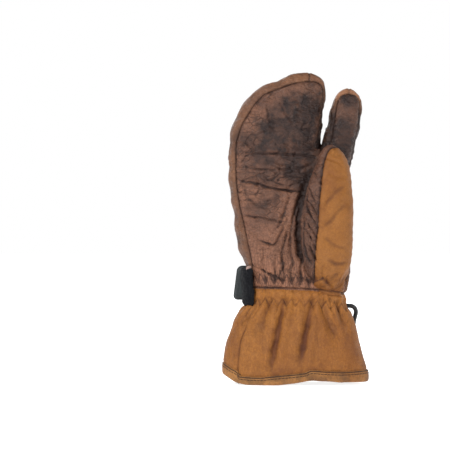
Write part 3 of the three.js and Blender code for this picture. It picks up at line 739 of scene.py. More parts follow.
TAN = leather("tan_hide", (126, 76, 27), (92, 50, 20), (144, 93, 38), (66, 33, 14), 900, 0.52,
              (1, 1, 0.45), 0.2)
TAN_CUFF = leather("tan_hide_cuff", (132, 80, 30), (86, 44, 21), (152, 98, 40), (62, 30, 14), 850, 0.53,
                   (1, 1, 0.4), 0.26)
BROWN = leather("brown_hide", (101, 68, 53), (33, 22, 20), (132, 90, 68), (34, 18, 13), 700, 0.45)
STRIP = leather("brown_hide_strip", (98, 64, 45), (28, 15, 12), (124, 85, 60), (36, 19, 12), 700, 0.47,
                wrinkled=0.6)
HEM_HIDE = leather("tan_hide_hem", (140, 90, 42), (56, 36, 24), (168, 118, 64), (40, 24, 15), 950, 0.53,
                   wrinkled=0.3)
DARK_THREAD = thread("dark_thread", 58, 38, 30)
BROWN_THREAD = thread("brown_thread", 82, 54, 44)
TAN_THREAD = thread("tan_thread", 132, 82, 38)
PILE = pile("loop_pile")
HOOKS = hook_tape("hook_tape")
TAPE = hook_tape("tape_backing")
BACKING = thread("pile_backing", 158, 130, 121)
FLEECE = fleece("grey_fleece", linear(90, 86, 82), linear(150, 145, 138))
WADDING = fleece("wadding", linear(200, 196, 186), linear(232, 229, 220))
BLACK_METAL = metal("black_coated_metal", linear(17, 18, 21), 0.6, 0.0, 0.2)
STEEL = metal("bright_steel", linear(196, 199, 204), 0.28, 1.0, 0.1)


# ---------------------------------------------------------------- pieces


def add_piece(name, points, faces, material, slot, nodes=(), relief=None, tone=None):
    """A smooth piece that stands for CAD nodes, with the relief and tone that its shader reads."""
    obj = new_object(name, to_frame(points), faces)
    for label, values in (("relief", relief), ("tone", tone)):
        values = np.zeros(len(points)) if values is None else values
        attribute = obj.data.attributes.new(label, "FLOAT", "POINT")
        attribute.data.foreach_set("value", np.asarray(values, np.float32))
    obj.data.polygons.foreach_set("use_smooth", [True] * len(obj.data.polygons))
    obj.data.materials.append(material)
    if nodes:
        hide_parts(*nodes)
    return obj


def add_panel(name, skin, keep, material, slot, nodes):
    """The kept faces of a skin, which is its points, faces, relief and tone, as a piece of their own."""
    points, faces, relief, tone = skin
    used, kept = np.unique(faces[keep], return_inverse=True)
    kept = kept.reshape(-1, 4)
    return add_piece(name, points[used], kept, material, slot, nodes, relief[used], tone[used])


def blend_up(obj):
    """Bakes the piece's placement into its vertices."""
    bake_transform(obj)


# The height of the seam between the cuff and the hand, for each x.
wrist_seam = curve((-46, 97.4), (-20, 97), (17.5, 95.4), (35, 93.4), (50.5, 91))


def lean(points):
    """Tilts the wrist round its seam, which runs lower on the thumb's side."""
    points = points.copy()
    points[:, 2] += (wrist_seam(points[:, 0]) - WRIST_SEAM_Z) * bell(points[:, 2] - WRIST_SEAM_Z, 20)
    return points


def spread(line, count):
    """This many points evenly spaced along a line, without its last one."""
    lengths = lengths_along(line)
    wanted = np.linspace(0, lengths[-1], count, endpoint=False)
    return np.stack([np.interp(wanted, lengths, column) for column in line.T], axis=1)


def ring_at(pouch, z):
    """The line round a pouch at one height, from its outer side and back to it."""
    return pouch.at(np.linspace(-np.pi, np.pi, 721), np.full(721, float(z)))


def zigzag_swing(phase):
    """A zigzag between -1 and 1; each leg of it takes 1 of the phase."""
    return 2 * np.abs(phase % 2 - 1) - 1


def zigzag_legs(pouch, band):
    """How many legs fit round the wrist; always an even number, so that the zigzag closes."""
    return 2 * round(lengths_along(ring_at(pouch, sum(band) / 2))[-1] / ZIGZAG_PITCH)


def zigzag_phase(points, pouch, band):
    """How many legs of the zigzag lie between its start and each point, going round the wrist."""
    ring = spread(ring_at(pouch, sum(band) / 2), 720)
    turn = np.unwrap(np.arctan2(ring[:, 1], ring[:, 0]))
    at = np.arctan2(points[:, 1], points[:, 0])
    at = np.where(at < turn[0], at + 2 * np.pi, at)
    return np.interp(at, turn, np.arange(720) / 720) * zigzag_legs(pouch, band)


def zigzag_gap(points, phase, band):
    """The distance of each point from the zigzag line."""
    middle = sum(band) / 2 + wrist_seam(points[:, 0]) - WRIST_SEAM_Z
    half = (band[1] - band[0]) / 2
    slope = 2 * half / (ZIGZAG_PITCH / 2)
    return np.abs(points[:, 2] - middle - half * zigzag_swing(phase)) / math.hypot(1, slope)


def crinkles(points, size, seed, stretch=(1, 1, 1)):
    """Fine random creases, -1 at their deepest."""
    bent = points + 0.25 * size * np.stack([noise(points, size, seed + k) for k in (1, 2, 3)], axis=1)
    lines = noise(bent, size, seed, stretch)
    patches = fade(noise(points, size * 2.3, seed + 9), -0.25, 0.35)
    return -bell(lines, 0.1) * patches


def folded(points, normals, folds, facing):
    """The sum of the folds where the skin faces the given side, -1 for the front."""
    amount = np.zeros(len(points))
    for fold in folds:
        amount += crease(points, *fold)
    return amount * fade(normals[:, 1] * facing, 0.05, 0.45)


def stains(points, normals):
    """How much use has darkened the skin, on its front only."""
    flat = points[:, [0, 2]]
    uneven = 1 + 0.5 * rough(points, 13, 3, 51)
    total = np.zeros(len(points))
    for centre, reach, strength in STAINS:
        distance = np.linalg.norm(flat - np.array(centre), axis=1)
        total += 1.5 * strength * bell(distance * uneven, reach)
    return np.clip(total, 0, 1) * fade(-normals[:, 1], 0.0, 0.4)


def seam_at(points, normals, outline):
    """Distance from a seam along the skin, the arc along it, the nearest seam point and the inside test."""
    loop = np.vstack([outline, outline[:1]])
    flat = points[:, [0, 2]]
    distance, along, nearest = nearest_on(flat, loop)
    steep = np.maximum(np.abs(normals[:, 1]), 0.35)
    return distance / steep, along, nearest, is_inside(flat, loop)


def stitched_edge(distance, along, seed, pitch=7):
    """The groove of a turned seam, with the leather puckered and full beside it."""
    wave = np.sin(2 * np.pi * along / pitch + 2.2 * np.sin(along / 11 + seed))
    groove = -1.3 * bell(distance, 0.75)
    full = 0.55 * bell(distance - 4.5, 3.2)
    return groove + full + 0.28 * wave * bell(distance - 2.8, 2.2)


# ---------------------------------------------------------------- the hand, its mitten and its index finger


# The x that parts the mitten from the index finger, for each height.
crotch_x = curve((211, 26), (240, 25.4), (251, 27.1), (261, 29.2), (273, 30.6), (285, 33.2), (297, 38))


def padded_skin(bodies, voxel, seams, wrist, limit):
    """The skin over some bodies, pressed out by up to limit where neither a seam nor the wrist holds it."""
    points, faces = fused(bodies, voxel)
    points = relax(points, faces, RELAX_ROUNDS)
    coarse, coarse_faces = fused(bodies, COARSE)
    coarse = relax(coarse, coarse_faces, 2)
    normals = normals_of(coarse, coarse_faces)
    gap = np.min([seam_at(coarse, normals, seam)[0] for seam in seams], axis=0)
    held = np.maximum(bell(gap, 4), fade(coarse[:, 2], *wrist))
    shift = swell(coarse, coarse_faces, held, limit)
    points = points + carried_over(shift, coarse, points)
    return subdivided(points, faces)


def hand_mesh():
    """The smooth skin of the hand, the mitten and the index finger, before seams and creases."""
    bodies = [
        HAND.closed(93.5, 235),
        MITTEN.closed(190, 314),
        INDEX.closed(190, 297.5),
        THUMB_HEEL.closed(98, 205),
    ]
    points, faces = padded_skin(bodies, HAND_VOXEL, (PALM_SEAM, INDEX_SEAM), (112, 102), 1.8)
    # Between the mitten and the index finger the gap narrows to a sharp end, finer than the voxels.
    wrinkle_highlight = points[:, 0] - crotch_x(points[:, 2])
    closing = bell(points[:, 2] - 248, 10)
    points[:, 0] += closing * (0.9 * fade(-wrinkle_highlight, 0, 3) * fade(-wrinkle_highlight, 12, 5)
                               - 2.1 * fade(wrinkle_highlight, 0, 3) * fade(wrinkle_highlight, 12, 5))
    return lean(points), faces


def hand_middle(points):
    """Where the front of the hand meets its back."""
    mitten = curve((240, 0.5), (275, -2.5), (292, -5), (312, -6))
    index = curve((240, 0.5), (270, -2), (285, -4), (297, -4.5))
    return np.where(points[:, 0] > crotch_x(points[:, 2]), index(points[:, 2]), mitten(points[:, 2]))


def back_split(x):
    """The height at which the tan back panel meets the brown knuckle panel."""
    return BACK_SPLIT_Z + 5 * np.cos(x / 22)


# The panels of the hand's skin, in the order that panel_numbers gives them.
HAND_PANELS = [
    ("palm_skin", BROWN, "brown_leather", ("palm_panel", "mitten_palm_panel", "mitten_crease")),
    ("index_front_skin", BROWN, "brown_leather",
     ("index_palm_root", "index_palm_panel", "index_crease")),
    ("back_skin", TAN, "tan_leather", ("back_panel",)),
    ("knuckle_skin", BROWN, "brown_leather", ("knuckle_panel", "mitten_back_panel")),
    ("index_back_skin", BROWN, "brown_leather", ("index_back_root", "index_back_panel")),
    ("index_strip_skin", STRIP, "brown_leather", ("index_side_root", "index_gusset")),
    ("thumb_side_strip_skin", STRIP, "brown_leather", ("radial_gusset",)),
    ("outer_strip_skin", STRIP, "brown_leather", ("ulnar_gusset", "mitten_gusset")),
]


def panel_numbers(x, z, front, in_palm, in_index):
    """The number of the panel that each vertex of the hand's skin belongs to; the first match counts."""
    conditions = [
        front & in_palm,
        front & in_index,
        in_palm & (z < back_split(x)),
        in_palm,
        in_index,
        (x > crotch_x(z)) & (z > INDEX_ROOT_Z),
        (x > 0) & (z <= INDEX_ROOT_Z),
    ]
    return np.select(conditions, range(7), 7)


def build_hand():
    points, faces = hand_mesh()
    normals = normals_of(points, faces)
    z = points[:, 2]
    front = points[:, 1] < hand_middle(points)
    palm_gap, palm_arc, palm_foot, in_palm = seam_at(points, normals, PALM_SEAM)
    index_gap, index_arc, index_foot, in_index = seam_at(points, normals, INDEX_SEAM)
    for gap, foot in ((palm_gap, palm_foot), (index_gap, index_foot)):
        snap = (gap < SNAP) & (np.abs(normals[:, 1]) > 0.4)
        points[np.ix_(snap, [0, 2])] = foot[snap]

    gap = np.minimum(palm_gap, index_gap)
    arc = np.where(palm_gap < index_gap, palm_arc, index_arc)
    split_gap = np.where(front | ~in_palm, FAR, np.abs(z - back_split(points[:, 0])))
    relief = stitched_edge(gap, arc, 0) + stitched_edge(split_gap, points[:, 0], 3)
    inside = in_palm | in_index
    relief += folded(points, normals, PALM_FOLDS + [(THUMB_VALLEY, 2.2, 3.0)], -1)
    relief += folded(points, normals, KNUCKLE_FOLDS, 1)
    # The strips between the panels are gathered into soft bumps.
    bumps = 0.5 * np.sin(2 * np.pi * arc / 24 + noise(points, 30, 19)) + 0.35 * noise(points, 11, 20)
    relief += ~inside * bumps * fade(gap, 1.5, 5) * fade(z, 112, 140)
    # A short seam joins the strip's ends at each tip.
    joint_gaps = []
    for joint in ([(13.4, 315), (13, 304)], [(53.6, 300), (53, 290.5)]):
        joint_gaps.append(nearest_on(points[:, [0, 2]], np.array(joint, float))[0])
        relief += ~inside * crease(points, joint, 0.5, 0.8)
    upright = fade(z, 150, 112)
    grain = 0.42 * crinkles(points, 15, 11) + 0.3 * crinkles(points, 8, 12) + 0.16 * crinkles(points, 4.5, 13)
    gathered = 0.75 * crinkles(points, 9, 14, (0.8, 0.8, 3.2)) + 0.45 * noise(points, 7, 15, (1, 1, 3))
    relief += grain + gathered * upright
    relief += 0.55 * rough(points, 24, 3, 16)
    # Level wrinkles where the palm bends, and a finer net over the rest of it.
    level = crinkles(points, 11, 54, (2.4, 1, 0.7)) + crinkles(points, 7, 56, (2.4, 1, 0.8))
    net = crinkles(points, 8, 55, (1.5, 1, 1)) * fade(z, 140, 170)
    relief += (front & in_palm) * (1.2 * level * bell(z - 212, 26) + 0.9 * net)
    # The gathers of the elastic, and the turned edge at the wrist seam.
    seam = wrist_seam(points[:, 0])
    phase = zigzag_phase(points, HAND, UPPER_ZIGZAG)
    zig = zigzag_gap(points, phase, UPPER_ZIGZAG)
    pleat = np.cos(np.pi * phase + 1.2 * noise(points, 20, 17))
    relief += 0.55 * pleat * fade(z, 130, 112) * fade(z, seam, seam + 5)
    relief += 0.5 * bell(z - seam - 3.6, 2.4) - 1.3 * bell(z - seam, 1.0) - 0.55 * bell(zig, 0.9)
    relief -= 0.5 * bell(z - sum(UPPER_ZIGZAG) / 2, 3.4)
    points = points + normals * relief[:, None]

    tone = stains(points, normals) + 0.25 * bell(gap, 1.6) + 0.25 * fade(rough(points, 30, 3, 18), 0.1, 0.8)
    tone += ~inside * 0.8 * bell(np.min(joint_gaps, axis=0), 0.9)
    # Painted shade along the deep valley between the palm and the thumb, on the front.
    valley = nearest_on(points[:, [0, 2]], smooth_line(THUMB_VALLEY))[0]
    tone += 0.6 * bell(valley, 5.0) * fade(-normals[:, 1], 0.0, 0.4) * fade(z, 112, 135)
    # The band across the palm above its slanted fold is darker; the strips by the index finger are painted
    #     darker as shade, in the gap between the fingers and on the sides turned from the light.
    slant = curve((-60, 204), (-6, 193), (40, 190))(points[:, 0])
    tone += (in_palm & front) * (0.3 * fade(z, slant - 1, slant + 2) - 0.1 - 0.45 * fade(z, 150, 116))
    tone += in_index * 0.58 + (in_palm & ~front) * 0.1
    tone += ~inside * fade(points[:, 0], 8, 20) * fade(z, 206, 222) * fade(z, 288, 262)
    # The strips are lighter at their tips.
    tone -= ~inside * (1.2 * fade(z, 284, 290) * fade(points[:, 0], 34, 42) + 0.3 * fade(z, 296, 306))
    tone = np.clip(tone, -1, 1)
    # A face belongs to the panel of most of its corners; the flat end inside the wrist is dropped.
    numbers = panel_numbers(points[:, 0], z, front, in_palm, in_index)
    corner = np.sort(numbers[faces], axis=1)
    face_panel = np.where(corner[:, 1] == corner[:, 2], corner[:, 1], corner[:, 0])
    middle_z = z[faces].mean(axis=1)
    down = normals[faces].mean(axis=1)[:, 2] < -0.85
    is_floor = down & (middle_z < wrist_seam(points[faces].mean(axis=1)[:, 0]) - 1)
    for number, (name, material, slot, nodes) in enumerate(HAND_PANELS):
        keep = (face_panel == number) & ~is_floor
        obj = add_panel(name, (points, faces, relief, tone), keep, material, slot, nodes)
        if name in ("back_skin", "thumb_side_strip_skin"):
            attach(obj, "hand")
        else:
            blend_up(obj)
    return points, faces


# ---------------------------------------------------------------- the thumb


# Where the thumb's tan leather ends on its outer side: y for each height.
thumb_side = curve((93, -12), (112, -22), (130, -30), (150, -33), (200, -34), (240, -34))


def build_thumb():
    tan_area = np.vstack([THUMB_SEAM, [(100, 206), (100, 84)]])
    body = THUMB.closed(93, 240, step=1.5)
    points, faces = padded_skin([body], THUMB_VOXEL, [tan_area], (130, 110), 1.4)
    points = lean(points)
    normals = normals_of(points, faces)
    z = points[:, 2]
    side = thumb_side(z)
    facing = points[:, 1] < side
    gap, arc, foot, right_of_seam = seam_at(points, normals, tan_area)
    snap = (gap < SNAP) & facing
    points[np.ix_(snap, [0, 2])] = foot[snap]
    is_tan = facing & right_of_seam
    gap = np.where(facing, gap, FAR)
    side_gap = np.abs(points[:, 1] - side) / np.maximum(np.abs(normals[:, 0]), 0.4)
    side_gap = np.where((points[:, 0] > 28) & (z < 228), side_gap, FAR)
    low = fade(z, 99, 112)
    relief = low * (stitched_edge(gap, arc, 5, 9) + stitched_edge(side_gap, z, 6, 9))
    relief += folded(points, normals, THUMB_FOLDS, -1)
    relief += folded(points, normals, THUMB_WRINKLES, -1)
    fine = 0.36 * crinkles(points, 12, 21) + 0.22 * crinkles(points, 6, 22)
    relief += fine * np.where(is_tan, 0.35, 1.0)
    relief += 0.5 * rough(points, 26, 3, 23, (1, 1, 1.4))
    seam = wrist_seam(points[:, 0])
    gathered = 0.7 * crinkles(points, 8, 24, (0.8, 0.8, 3)) + 0.5 * noise(points, 6.5, 25, (1, 1, 3))
    relief += gathered * fade(z, 132, 110)
    phase = zigzag_phase(points, HAND, UPPER_ZIGZAG)
    relief += 0.5 * np.cos(np.pi * phase) * fade(z, 124, 110) * fade(z, seam, seam + 5)
    relief -= 0.6 * bell(zigzag_gap(points, phase, UPPER_ZIGZAG), 0.9)
    relief -= 0.5 * bell(z - sum(UPPER_ZIGZAG) / 2, 3.4) + 1.6 * bell(z - seam, 1.1)
    points = points + normals * relief[:, None]

    tone = 0.4 * bell(gap, 2.0) + 0.35 * bell(side_gap, 2.0) + 0.25 * fade(rough(points, 22, 3, 26), 0.1, 0.8)
    tone += np.where(is_tan, 0.05, 0.4) + 0.2 * fade(z, 114, 100)
    corner = np.sort(is_tan[faces], axis=1)
    parts = [
        ("thumb_outer_skin", corner[:, 1], TAN, "tan_leather", ("thumb_outer_panel", "thumb_root_panel")),
        ("thumb_inner_skin", ~corner[:, 1], BROWN, "brown_leather", ("thumb_inner_panel",)),
    ]
    for name, *panel in parts:
        obj = add_panel(name, (points, faces, relief, tone), *panel)
        blend_up(obj)
    return points, faces


# ---------------------------------------------------------------- the cuff


def hem_edge(front, back):
    """A height of the hem that follows one curve at the front and another at the back."""
    def height(points):
        x = points[..., 0]
        return front(x) + (back(x) - front(x)) * fade(points[..., 1], -12, 12)
    return height


# The heights of the hem's upper and lower edges; they wave more on the front than on the back.
hem_line = hem_edge(
    curve((-74, 21.8), (-66, 17), (-58.4, 12.8), (-56.4, 9), (-38, 8), (-22, 9.6), (8, 12.8),
          (14.5, 15.2), (27, 14.3), (45, 13.4), (73, 14.4)),
    curve((-74, 21.8), (-58, 13), (-40, 11), (0, 12), (40, 13), (73, 14.4)),
)
hem_foot = hem_edge(
    curve((-75, 10), (-70, 7), (-60, 1.8), (-48, 0), (-24, 0), (-4, 1.7), (16.5, 4.7), (45, 2.8), (73, 2.2)),
    curve((-75, 10), (-64, 3.4), (-40, 0.6), (0, 2), (40, 0.8), (73, 2.2)),
)
# Where the front and back of the cuff are sewn to its side panel: x for each height.
cuff_side_line = curve((0, -59.8), (21, -58.5), (42, -56.5), (60, -49.5), (72, -45.5), (84, -43.2),
                       (97, -41.5))


def build_cuff():
    columns = int(385 / CUFF_STEP)
    rows = int(92 / CUFF_STEP)
    angle = turns(columns)
    low = hem_line(CUFF.at(angle, np.array([[12.0]]))) - 1.5
    t = np.linspace(0, 1, rows)[:, None]
    grid = CUFF.at(angle, low + (102 - low) * t)
    points = lean(grid.reshape(-1, 3))
    faces = grid_faces(rows, columns)
    normals = normals_of(points, faces)
    z = points[:, 2]
    seam = wrist_seam(points[:, 0])

    pressed = np.zeros(len(points))
    for folds, facing in ((CUFF_FOLDS, -1), (CUFF_BACK_FOLDS, 1)):
        for line, depth, width, wide in folds:
            fold = crease(points, line, depth, width, 0.4, wide)
            pressed += fold * fade(normals[:, 1] * facing, 0.05, 0.45)
    broad = pressed.copy()
    # Arched pleats hang from the elastic: rounded ridges with sharp valleys between them.
    phase = zigzag_phase(points, CUFF, LOWER_ZIGZAG)
    uneven = 0.8 + 0.6 * noise(points, 16, 41)
    arches = 2 * np.abs(np.cos(np.pi * phase / 2 + 0.35 * noise(points, 14, 42))) ** 0.55 - 1
    broad += 1.35 * arches * uneven * fade(z, 60, 78) * fade(z, 86, 80)
    broad += 0.8 * np.cos(np.pi * phase) * uneven * fade(z, 79, 86) * fade(z, seam - 1, seam - 5)
    broad += 0.8 * np.sin(np.pi * phase / 2 + 2.2 * noise(points, 26, 43)) * bell(z - 66, 14)
    broad += 1.3 * rough(points, 24, 3, 44, (1, 1, 2.0)) * fade(z, 14, 50) * fade(z, 96, 84)
    broad += 1.0 * rough(points, 44, 2, 45) * fade(z, 10, 30) * fade(z, 96, 84)
    relief = 0.35 * crinkles(points, 13, 46, (1, 1, 1.6)) + 0.2 * crinkles(points, 6, 47)
    relief += 0.8 * crinkles(points, 6, 50, (0.8, 0.8, 2.2)) * fade(z, 78, 86)
    # Two rows of elastic stitching draw the leather in, and it stands full between them and the seam.
    broad -= 1.1 * bell(z - sum(LOWER_ZIGZAG) / 2, 4.0)
    broad += 0.9 * bell(z - seam + 5.5, 3.2)
    broad -= 3.4 * fade(z, seam - 2.0, seam + 2.2)
    relief -= 1.6 * bell(z - seam, 1.0) + 0.85 * bell(zigzag_gap(points, phase, LOWER_ZIGZAG), 0.75)
    side_x = cuff_side_line(z)
    side_gap = np.abs(points[:, 0] - side_x) / np.maximum(np.abs(normals[:, 1]), 0.4)
    side_seam = 0.25 + 0.75 * fade(z, 66, 52)
    relief += 0.75 * stitched_edge(side_gap, z, 8, 9) * side_seam * fade(z, 84, 76)
    hem_gap = z - hem_line(points)
    relief -= 0.6 * bell(hem_gap, 1.6)
    points = points + normals * (relief + broad)[:, None]

    tone = 0.25 * bell(side_gap, 1.6) * side_seam
    tone += 0.3 * fade(rough(points, 26, 4, 48, (1, 1, 1.6)), 0.05, 0.8)
    # Painted shade on the front between the two deep folds, and in the valleys of the arched pleats.
    tone += 0.24 * bell(points[:, 0] - 8, 20) * bell(z - 38, 22) * fade(-normals[:, 1], 0, 0.4)
    tone += 0.4 * fade(arches, -0.1, -0.9) * fade(z, 58, 74) * fade(z, 85, 80)
    tone += 0.3 * fade(z, 26, 12) * fade(rough(points, 18, 3, 49), -0.2, 0.5)
    # Painted shade in the pressed folds.
    tone += 0.75 * fade(pressed, -0.4, -3.0)
    tone -= 0.14 * fade(points[:, 0], 5, 40) + 0.12 * fade(z, 52, 74) - 0.05
    # The broad folds go into the shader's relief only, which paints their valleys darker and ridges lighter:
    # painted shade and highlight.
    relief += 0.3 * np.clip(broad, -1.5, 1.5)
    is_side = (points[:, 0] < side_x)[faces].mean(axis=1) > 0.5
    wrapped = [f"{panel}_{side}" for panel in ("wrist_band", "wrist_fold") for side in ("front", "back")]
    parts = [
        ("cuff_skin", ~is_side, ("cuff_front_panel", "cuff_back_panel", *wrapped)),
        ("cuff_side_skin", is_side, ("cuff_side_panel",)),
    ]
    for name, keep, nodes in parts:
        obj = add_panel(name, (points, faces, relief, tone), keep, TAN_CUFF, "tan_leather", nodes)
        blend_up(obj)
    return points, faces


def build_hem():
    """The turned hem: down the outside, round under the edge and up the inside."""
    columns = 440
    angle = turns(columns)
    ring = CUFF.at(angle, np.array([[8.0]]))[0]
    along = np.roll(ring, -1, axis=0) - np.roll(ring, 1, axis=0)
    outward = np.stack([along[:, 1], -along[:, 0], np.zeros(columns)], axis=1)
    outward /= np.linalg.norm(outward, axis=1)[:, None]
    top, foot = hem_line(ring), hem_foot(ring)
    thick = 4.8
    rows = []
    for t in np.linspace(0, 1, 16):
        z = top + 0.6 + (foot + thick / 2 - top - 0.6) * t
        rows.append((z, 0.4 + 0.35 * np.sin(np.pi * t) - 1.2 * bell(t, 0.06)))
    for t in np.linspace(0, np.pi, 9)[1:-1]:
        rows.append((foot + thick / 2 * (1 - np.sin(t)), 0.4 - thick / 2 * (1 - np.cos(t))))
    for t in np.linspace(0, 1, 7):
        z = foot + thick / 2 + (3 + 3 * t) * t
        rows.append((z, 0.4 - thick - 0.3 * t))
    layers = []
    for z, out in rows[::-1]:
        base = CUFF.at(angle, np.maximum(z, 0.0)[None, :])[0]
        base[:, 2] = z
        layers.append(base + outward * np.broadcast_to(out, (columns,))[:, None])
    points = np.array(layers).reshape(-1, 3)
    faces = grid_faces(len(rows), columns)[:, ::-1]
    points, faces = subdivided(points, faces)
    normals = normals_of(points, faces)
    outside = fade(np.sum((points - ring.mean(axis=0)) * normals, axis=1), 0, 4)
    depth = hem_line(points) - points[:, 2]
    relief = -0.9 * bell(depth - 0.7, 0.7) - 0.5 * bell(depth - 3.1, 0.55)
    relief += 0.35 * noise(points, 7, 61) + 0.45 * noise(points, 18, 62)
    relief += 0.2 * crinkles(points, 6, 63, (1, 1, 2))
    relief += crease(points, [(-56.6, 13), (-57.4, 6), (-59.5, 0)], 2.4, 0.9, 0.4)
    relief *= outside
    points = points + normals * relief[:, None]
    # Painted shadow in a dark band just under the hem's top edge, and painted shade between its two rows of
    # stitches.
    tone = (0.55 * bell(depth - 2, 1.7) + 1.0 * bell(depth - 0.6, 0.9)) * outside
    tone += 0.4 * fade(rough(points, 16, 3, 64), 0, 0.7)
    hem = add_piece("cuff_hem_band", points, faces, HEM_HIDE, "tan_leather", ("cuff_hem",), relief, tone)
    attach(hem, "cuff")
    return points, faces


def build_lining():
    columns = 150
    rows = 120
    angle = turns(columns)
    low = hem_foot(LINING.at(angle, np.array([[12.0]]))) + 4.5
    z = low + (232 - low) * np.linspace(0, 1, rows)[:, None]
    points = LINING.at(angle, z).reshape(-1, 3)
    faces = grid_faces(rows, columns)
    normals = normals_of(points, faces)
    lumps = 0.7 * noise(points, 9, 71) + 0.8 * rough(points, 22, 2, 72)
    points = points + normals * (lumps * fade(points[:, 2] - hem_foot(points), 5, 12))[:, None]
    faces = faces[:, ::-1].tolist() + [list(range(len(points) - columns, len(points)))[::-1]]
    lining = add_piece("lining", points, faces, FLEECE, "fleece_lining", ("cuff_lining", "hand_lining"))
    blend_up(lining)


# ---------------------------------------------------------------- padding and elastic inside


def sleeve(outer, inset, low, high):
    """A closed tube of padding between a pouch, drawn in by inset, and the lining, let out by 1 mm."""
    columns = 64
    z = np.linspace(low, high, int((high - low) / 4))[:, None]
    outside = lean(outer.at(turns(columns), z, inset).reshape(-1, 3))
    inside = lean(LINING.at(turns(columns), z[::-1], -1.0).reshape(-1, 3))
    return np.vstack([outside, inside]), ring_faces(2 * len(z), columns)


def build_padding():
    cuff_pad = add_piece("cuff_padding", *sleeve(CUFF, 5.0, 13, 93), WADDING, "insulation",
                         ("cuff_insulation",))
    blend_up(cuff_pad)
    hand_pad = add_piece("hand_padding", *sleeve(HAND, 4.6, 99, 228), WADDING, "insulation",
                         ("hand_insulation", "thumb_root_insulation"))
    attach(hand_pad, "hand")
    fingers = [("mitten", MITTEN, 258, 306), ("index", INDEX, 258, 291), ("thumb", THUMB, 148, 234)]
    for name, pouch, low, high in fingers:
        body = pouch.closed(low, high, step=4, around=40, inset=4.5)
        nodes = (f"{name}_insulation", f"{name}_lining")
        pad = add_piece(f"{name}_padding", *body, WADDING, "insulation", nodes)
        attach(pad, name)


def build_elastics():
    rows = [
        ("lower_elastic", CUFF, LOWER_ZIGZAG, "cuff", "lower_wrist_elastic"),
        ("upper_elastic", HAND, UPPER_ZIGZAG, "hand", "upper_wrist_elastic"),
    ]
    for name, pouch, (low, high), body, node in rows:
        columns = 120
        corners = ((3.9, low), (3.9, high), (4.5, high), (4.5, low))
        layers = [pouch.at(turns(columns), np.array([[z]]), inset)[0] for inset, z in corners]
        points = lean(np.vstack(layers))
        band = add_piece(name, points, ring_faces(4, columns), WADDING, "elastic", (node,))
        if body == "cuff":
            blend_up(band)
        else:
            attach(band, body)


# ---------------------------------------------------------------- thread


def tube(path, radius, sides=6):
    """Vertices and faces of a round rod along a path, with rounded ends."""
    path = np.asarray(path, float)
    ahead = np.gradient(path, axis=0)
    ahead /= np.linalg.norm(ahead, axis=1)[:, None]
    up = np.cross(ahead[0], (0.3, 0.2, 0.93))
    if np.linalg.norm(up) < 0.1:
        up = np.cross(ahead[0], (1, 0, 0))
    rings = []
    back = np.array([0.75, 0.35])[:, None] * radius
    scale = [0.45, 0.85] + [1] * len(path) + [0.85, 0.45]
    path = np.vstack([path[0] - ahead[0] * back, path, path[-1] + ahead[-1] * back[::-1]])
    ahead = np.vstack([ahead[:1]] * 2 + [ahead] + [ahead[-1:]] * 2)
    for point, forward, size in zip(path, ahead, scale):
        up = up - forward * (up @ forward)
        up /= np.linalg.norm(up)
        across = np.cross(forward, up)
        turn = 2 * np.pi * np.arange(sides) / sides
        rings.append(point + radius * size * (np.outer(np.cos(turn), up) + np.outer(np.sin(turn), across)))
    return np.vstack(rings), capped_faces(len(rings), sides)


def surface_tree(*meshes):
    """The meshes as one surface that rays can be cast at."""
    points, faces = joined([(p, f.tolist()) for p, f in meshes])
    return BVHTree.FromPolygons([tuple(p) for p in points], faces)


def laid_on(tree, points, lift):
    """Points moved in onto a surface from outside the wrist or the cuff, and lifted off it a little."""
    found = []
    for point in points:
        inward = Vector((-point[0], -point[1], 0)).normalized()
        hit = tree.ray_cast(Vector(point) - inward * 25, inward, 60)[0]
        if hit is not None:
            found.append(np.array(hit - inward * lift))
    return np.array(found)


def build_zigzag(name, tree, pouch, band, materials):
    """A zigzag of thread that holds the elastic, in one piece for each colour of thread."""
    middle = sum(band) / 2
    legs = zigzag_legs(pouch, band)
    steps = 6
    path = spread(ring_at(pouch, middle), legs * steps)
    phase = np.arange(legs * steps) / steps
    path[:, 2] = middle + zigzag_swing(phase) * (band[1] - band[0]) / 2
    path[:, 2] += wrist_seam(path[:, 0]) - WRIST_SEAM_Z
    parts = {material: [] for material in materials}
    for leg in range(legs):
        picked = path[np.arange(leg * steps, (leg + 1) * steps + 1) % len(path)]
        laid = laid_on(tree, picked, 0.0)
        if len(laid) < 4:
            continue
        on_palm = picked[:, 1].mean() < 0 and picked[:, 0].mean() < 16
        material = materials[0] if on_palm else materials[-1]
        parts[material].append(tube(laid, THREAD_RADIUS))
    for number, (material, tubes) in enumerate(parts.items(), 1):
        slot = "brown_leather" if material == BROWN_THREAD else "tan_leather"
        obj = add_piece(f"{name}_{number}", *joined(tubes), material, slot)
        blend_up(obj)


def build_hem_stitches(tree):
    """Two rows of lockstitch round the hem; each row's depth below the edge, stitch and radius. The upper
    row's stitches meet almost end to end, a dark line that also stands for painted shadow under the hem's top
    edge.
    """
    parts = []
    for below, stitch, radius in ((0.8, 12, 0.5), (3.1, 10, 0.36)):
        ring = spread(ring_at(CUFF, 12), 1200)
        ring[:, 2] = hem_line(ring) - below
        for start in range(0, len(ring), 12):
            picked = ring[np.arange(start, start + stitch, 2) % len(ring)]
            laid = laid_on(tree, picked, 0.05)
            if len(laid) > 2:
                parts.append(tube(laid, radius))
    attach(add_piece("hem_stitches", *joined(parts), DARK_THREAD, "brown_leather"), "cuff")


# ---------------------------------------------------------------- the strap, its tab and the pile patch


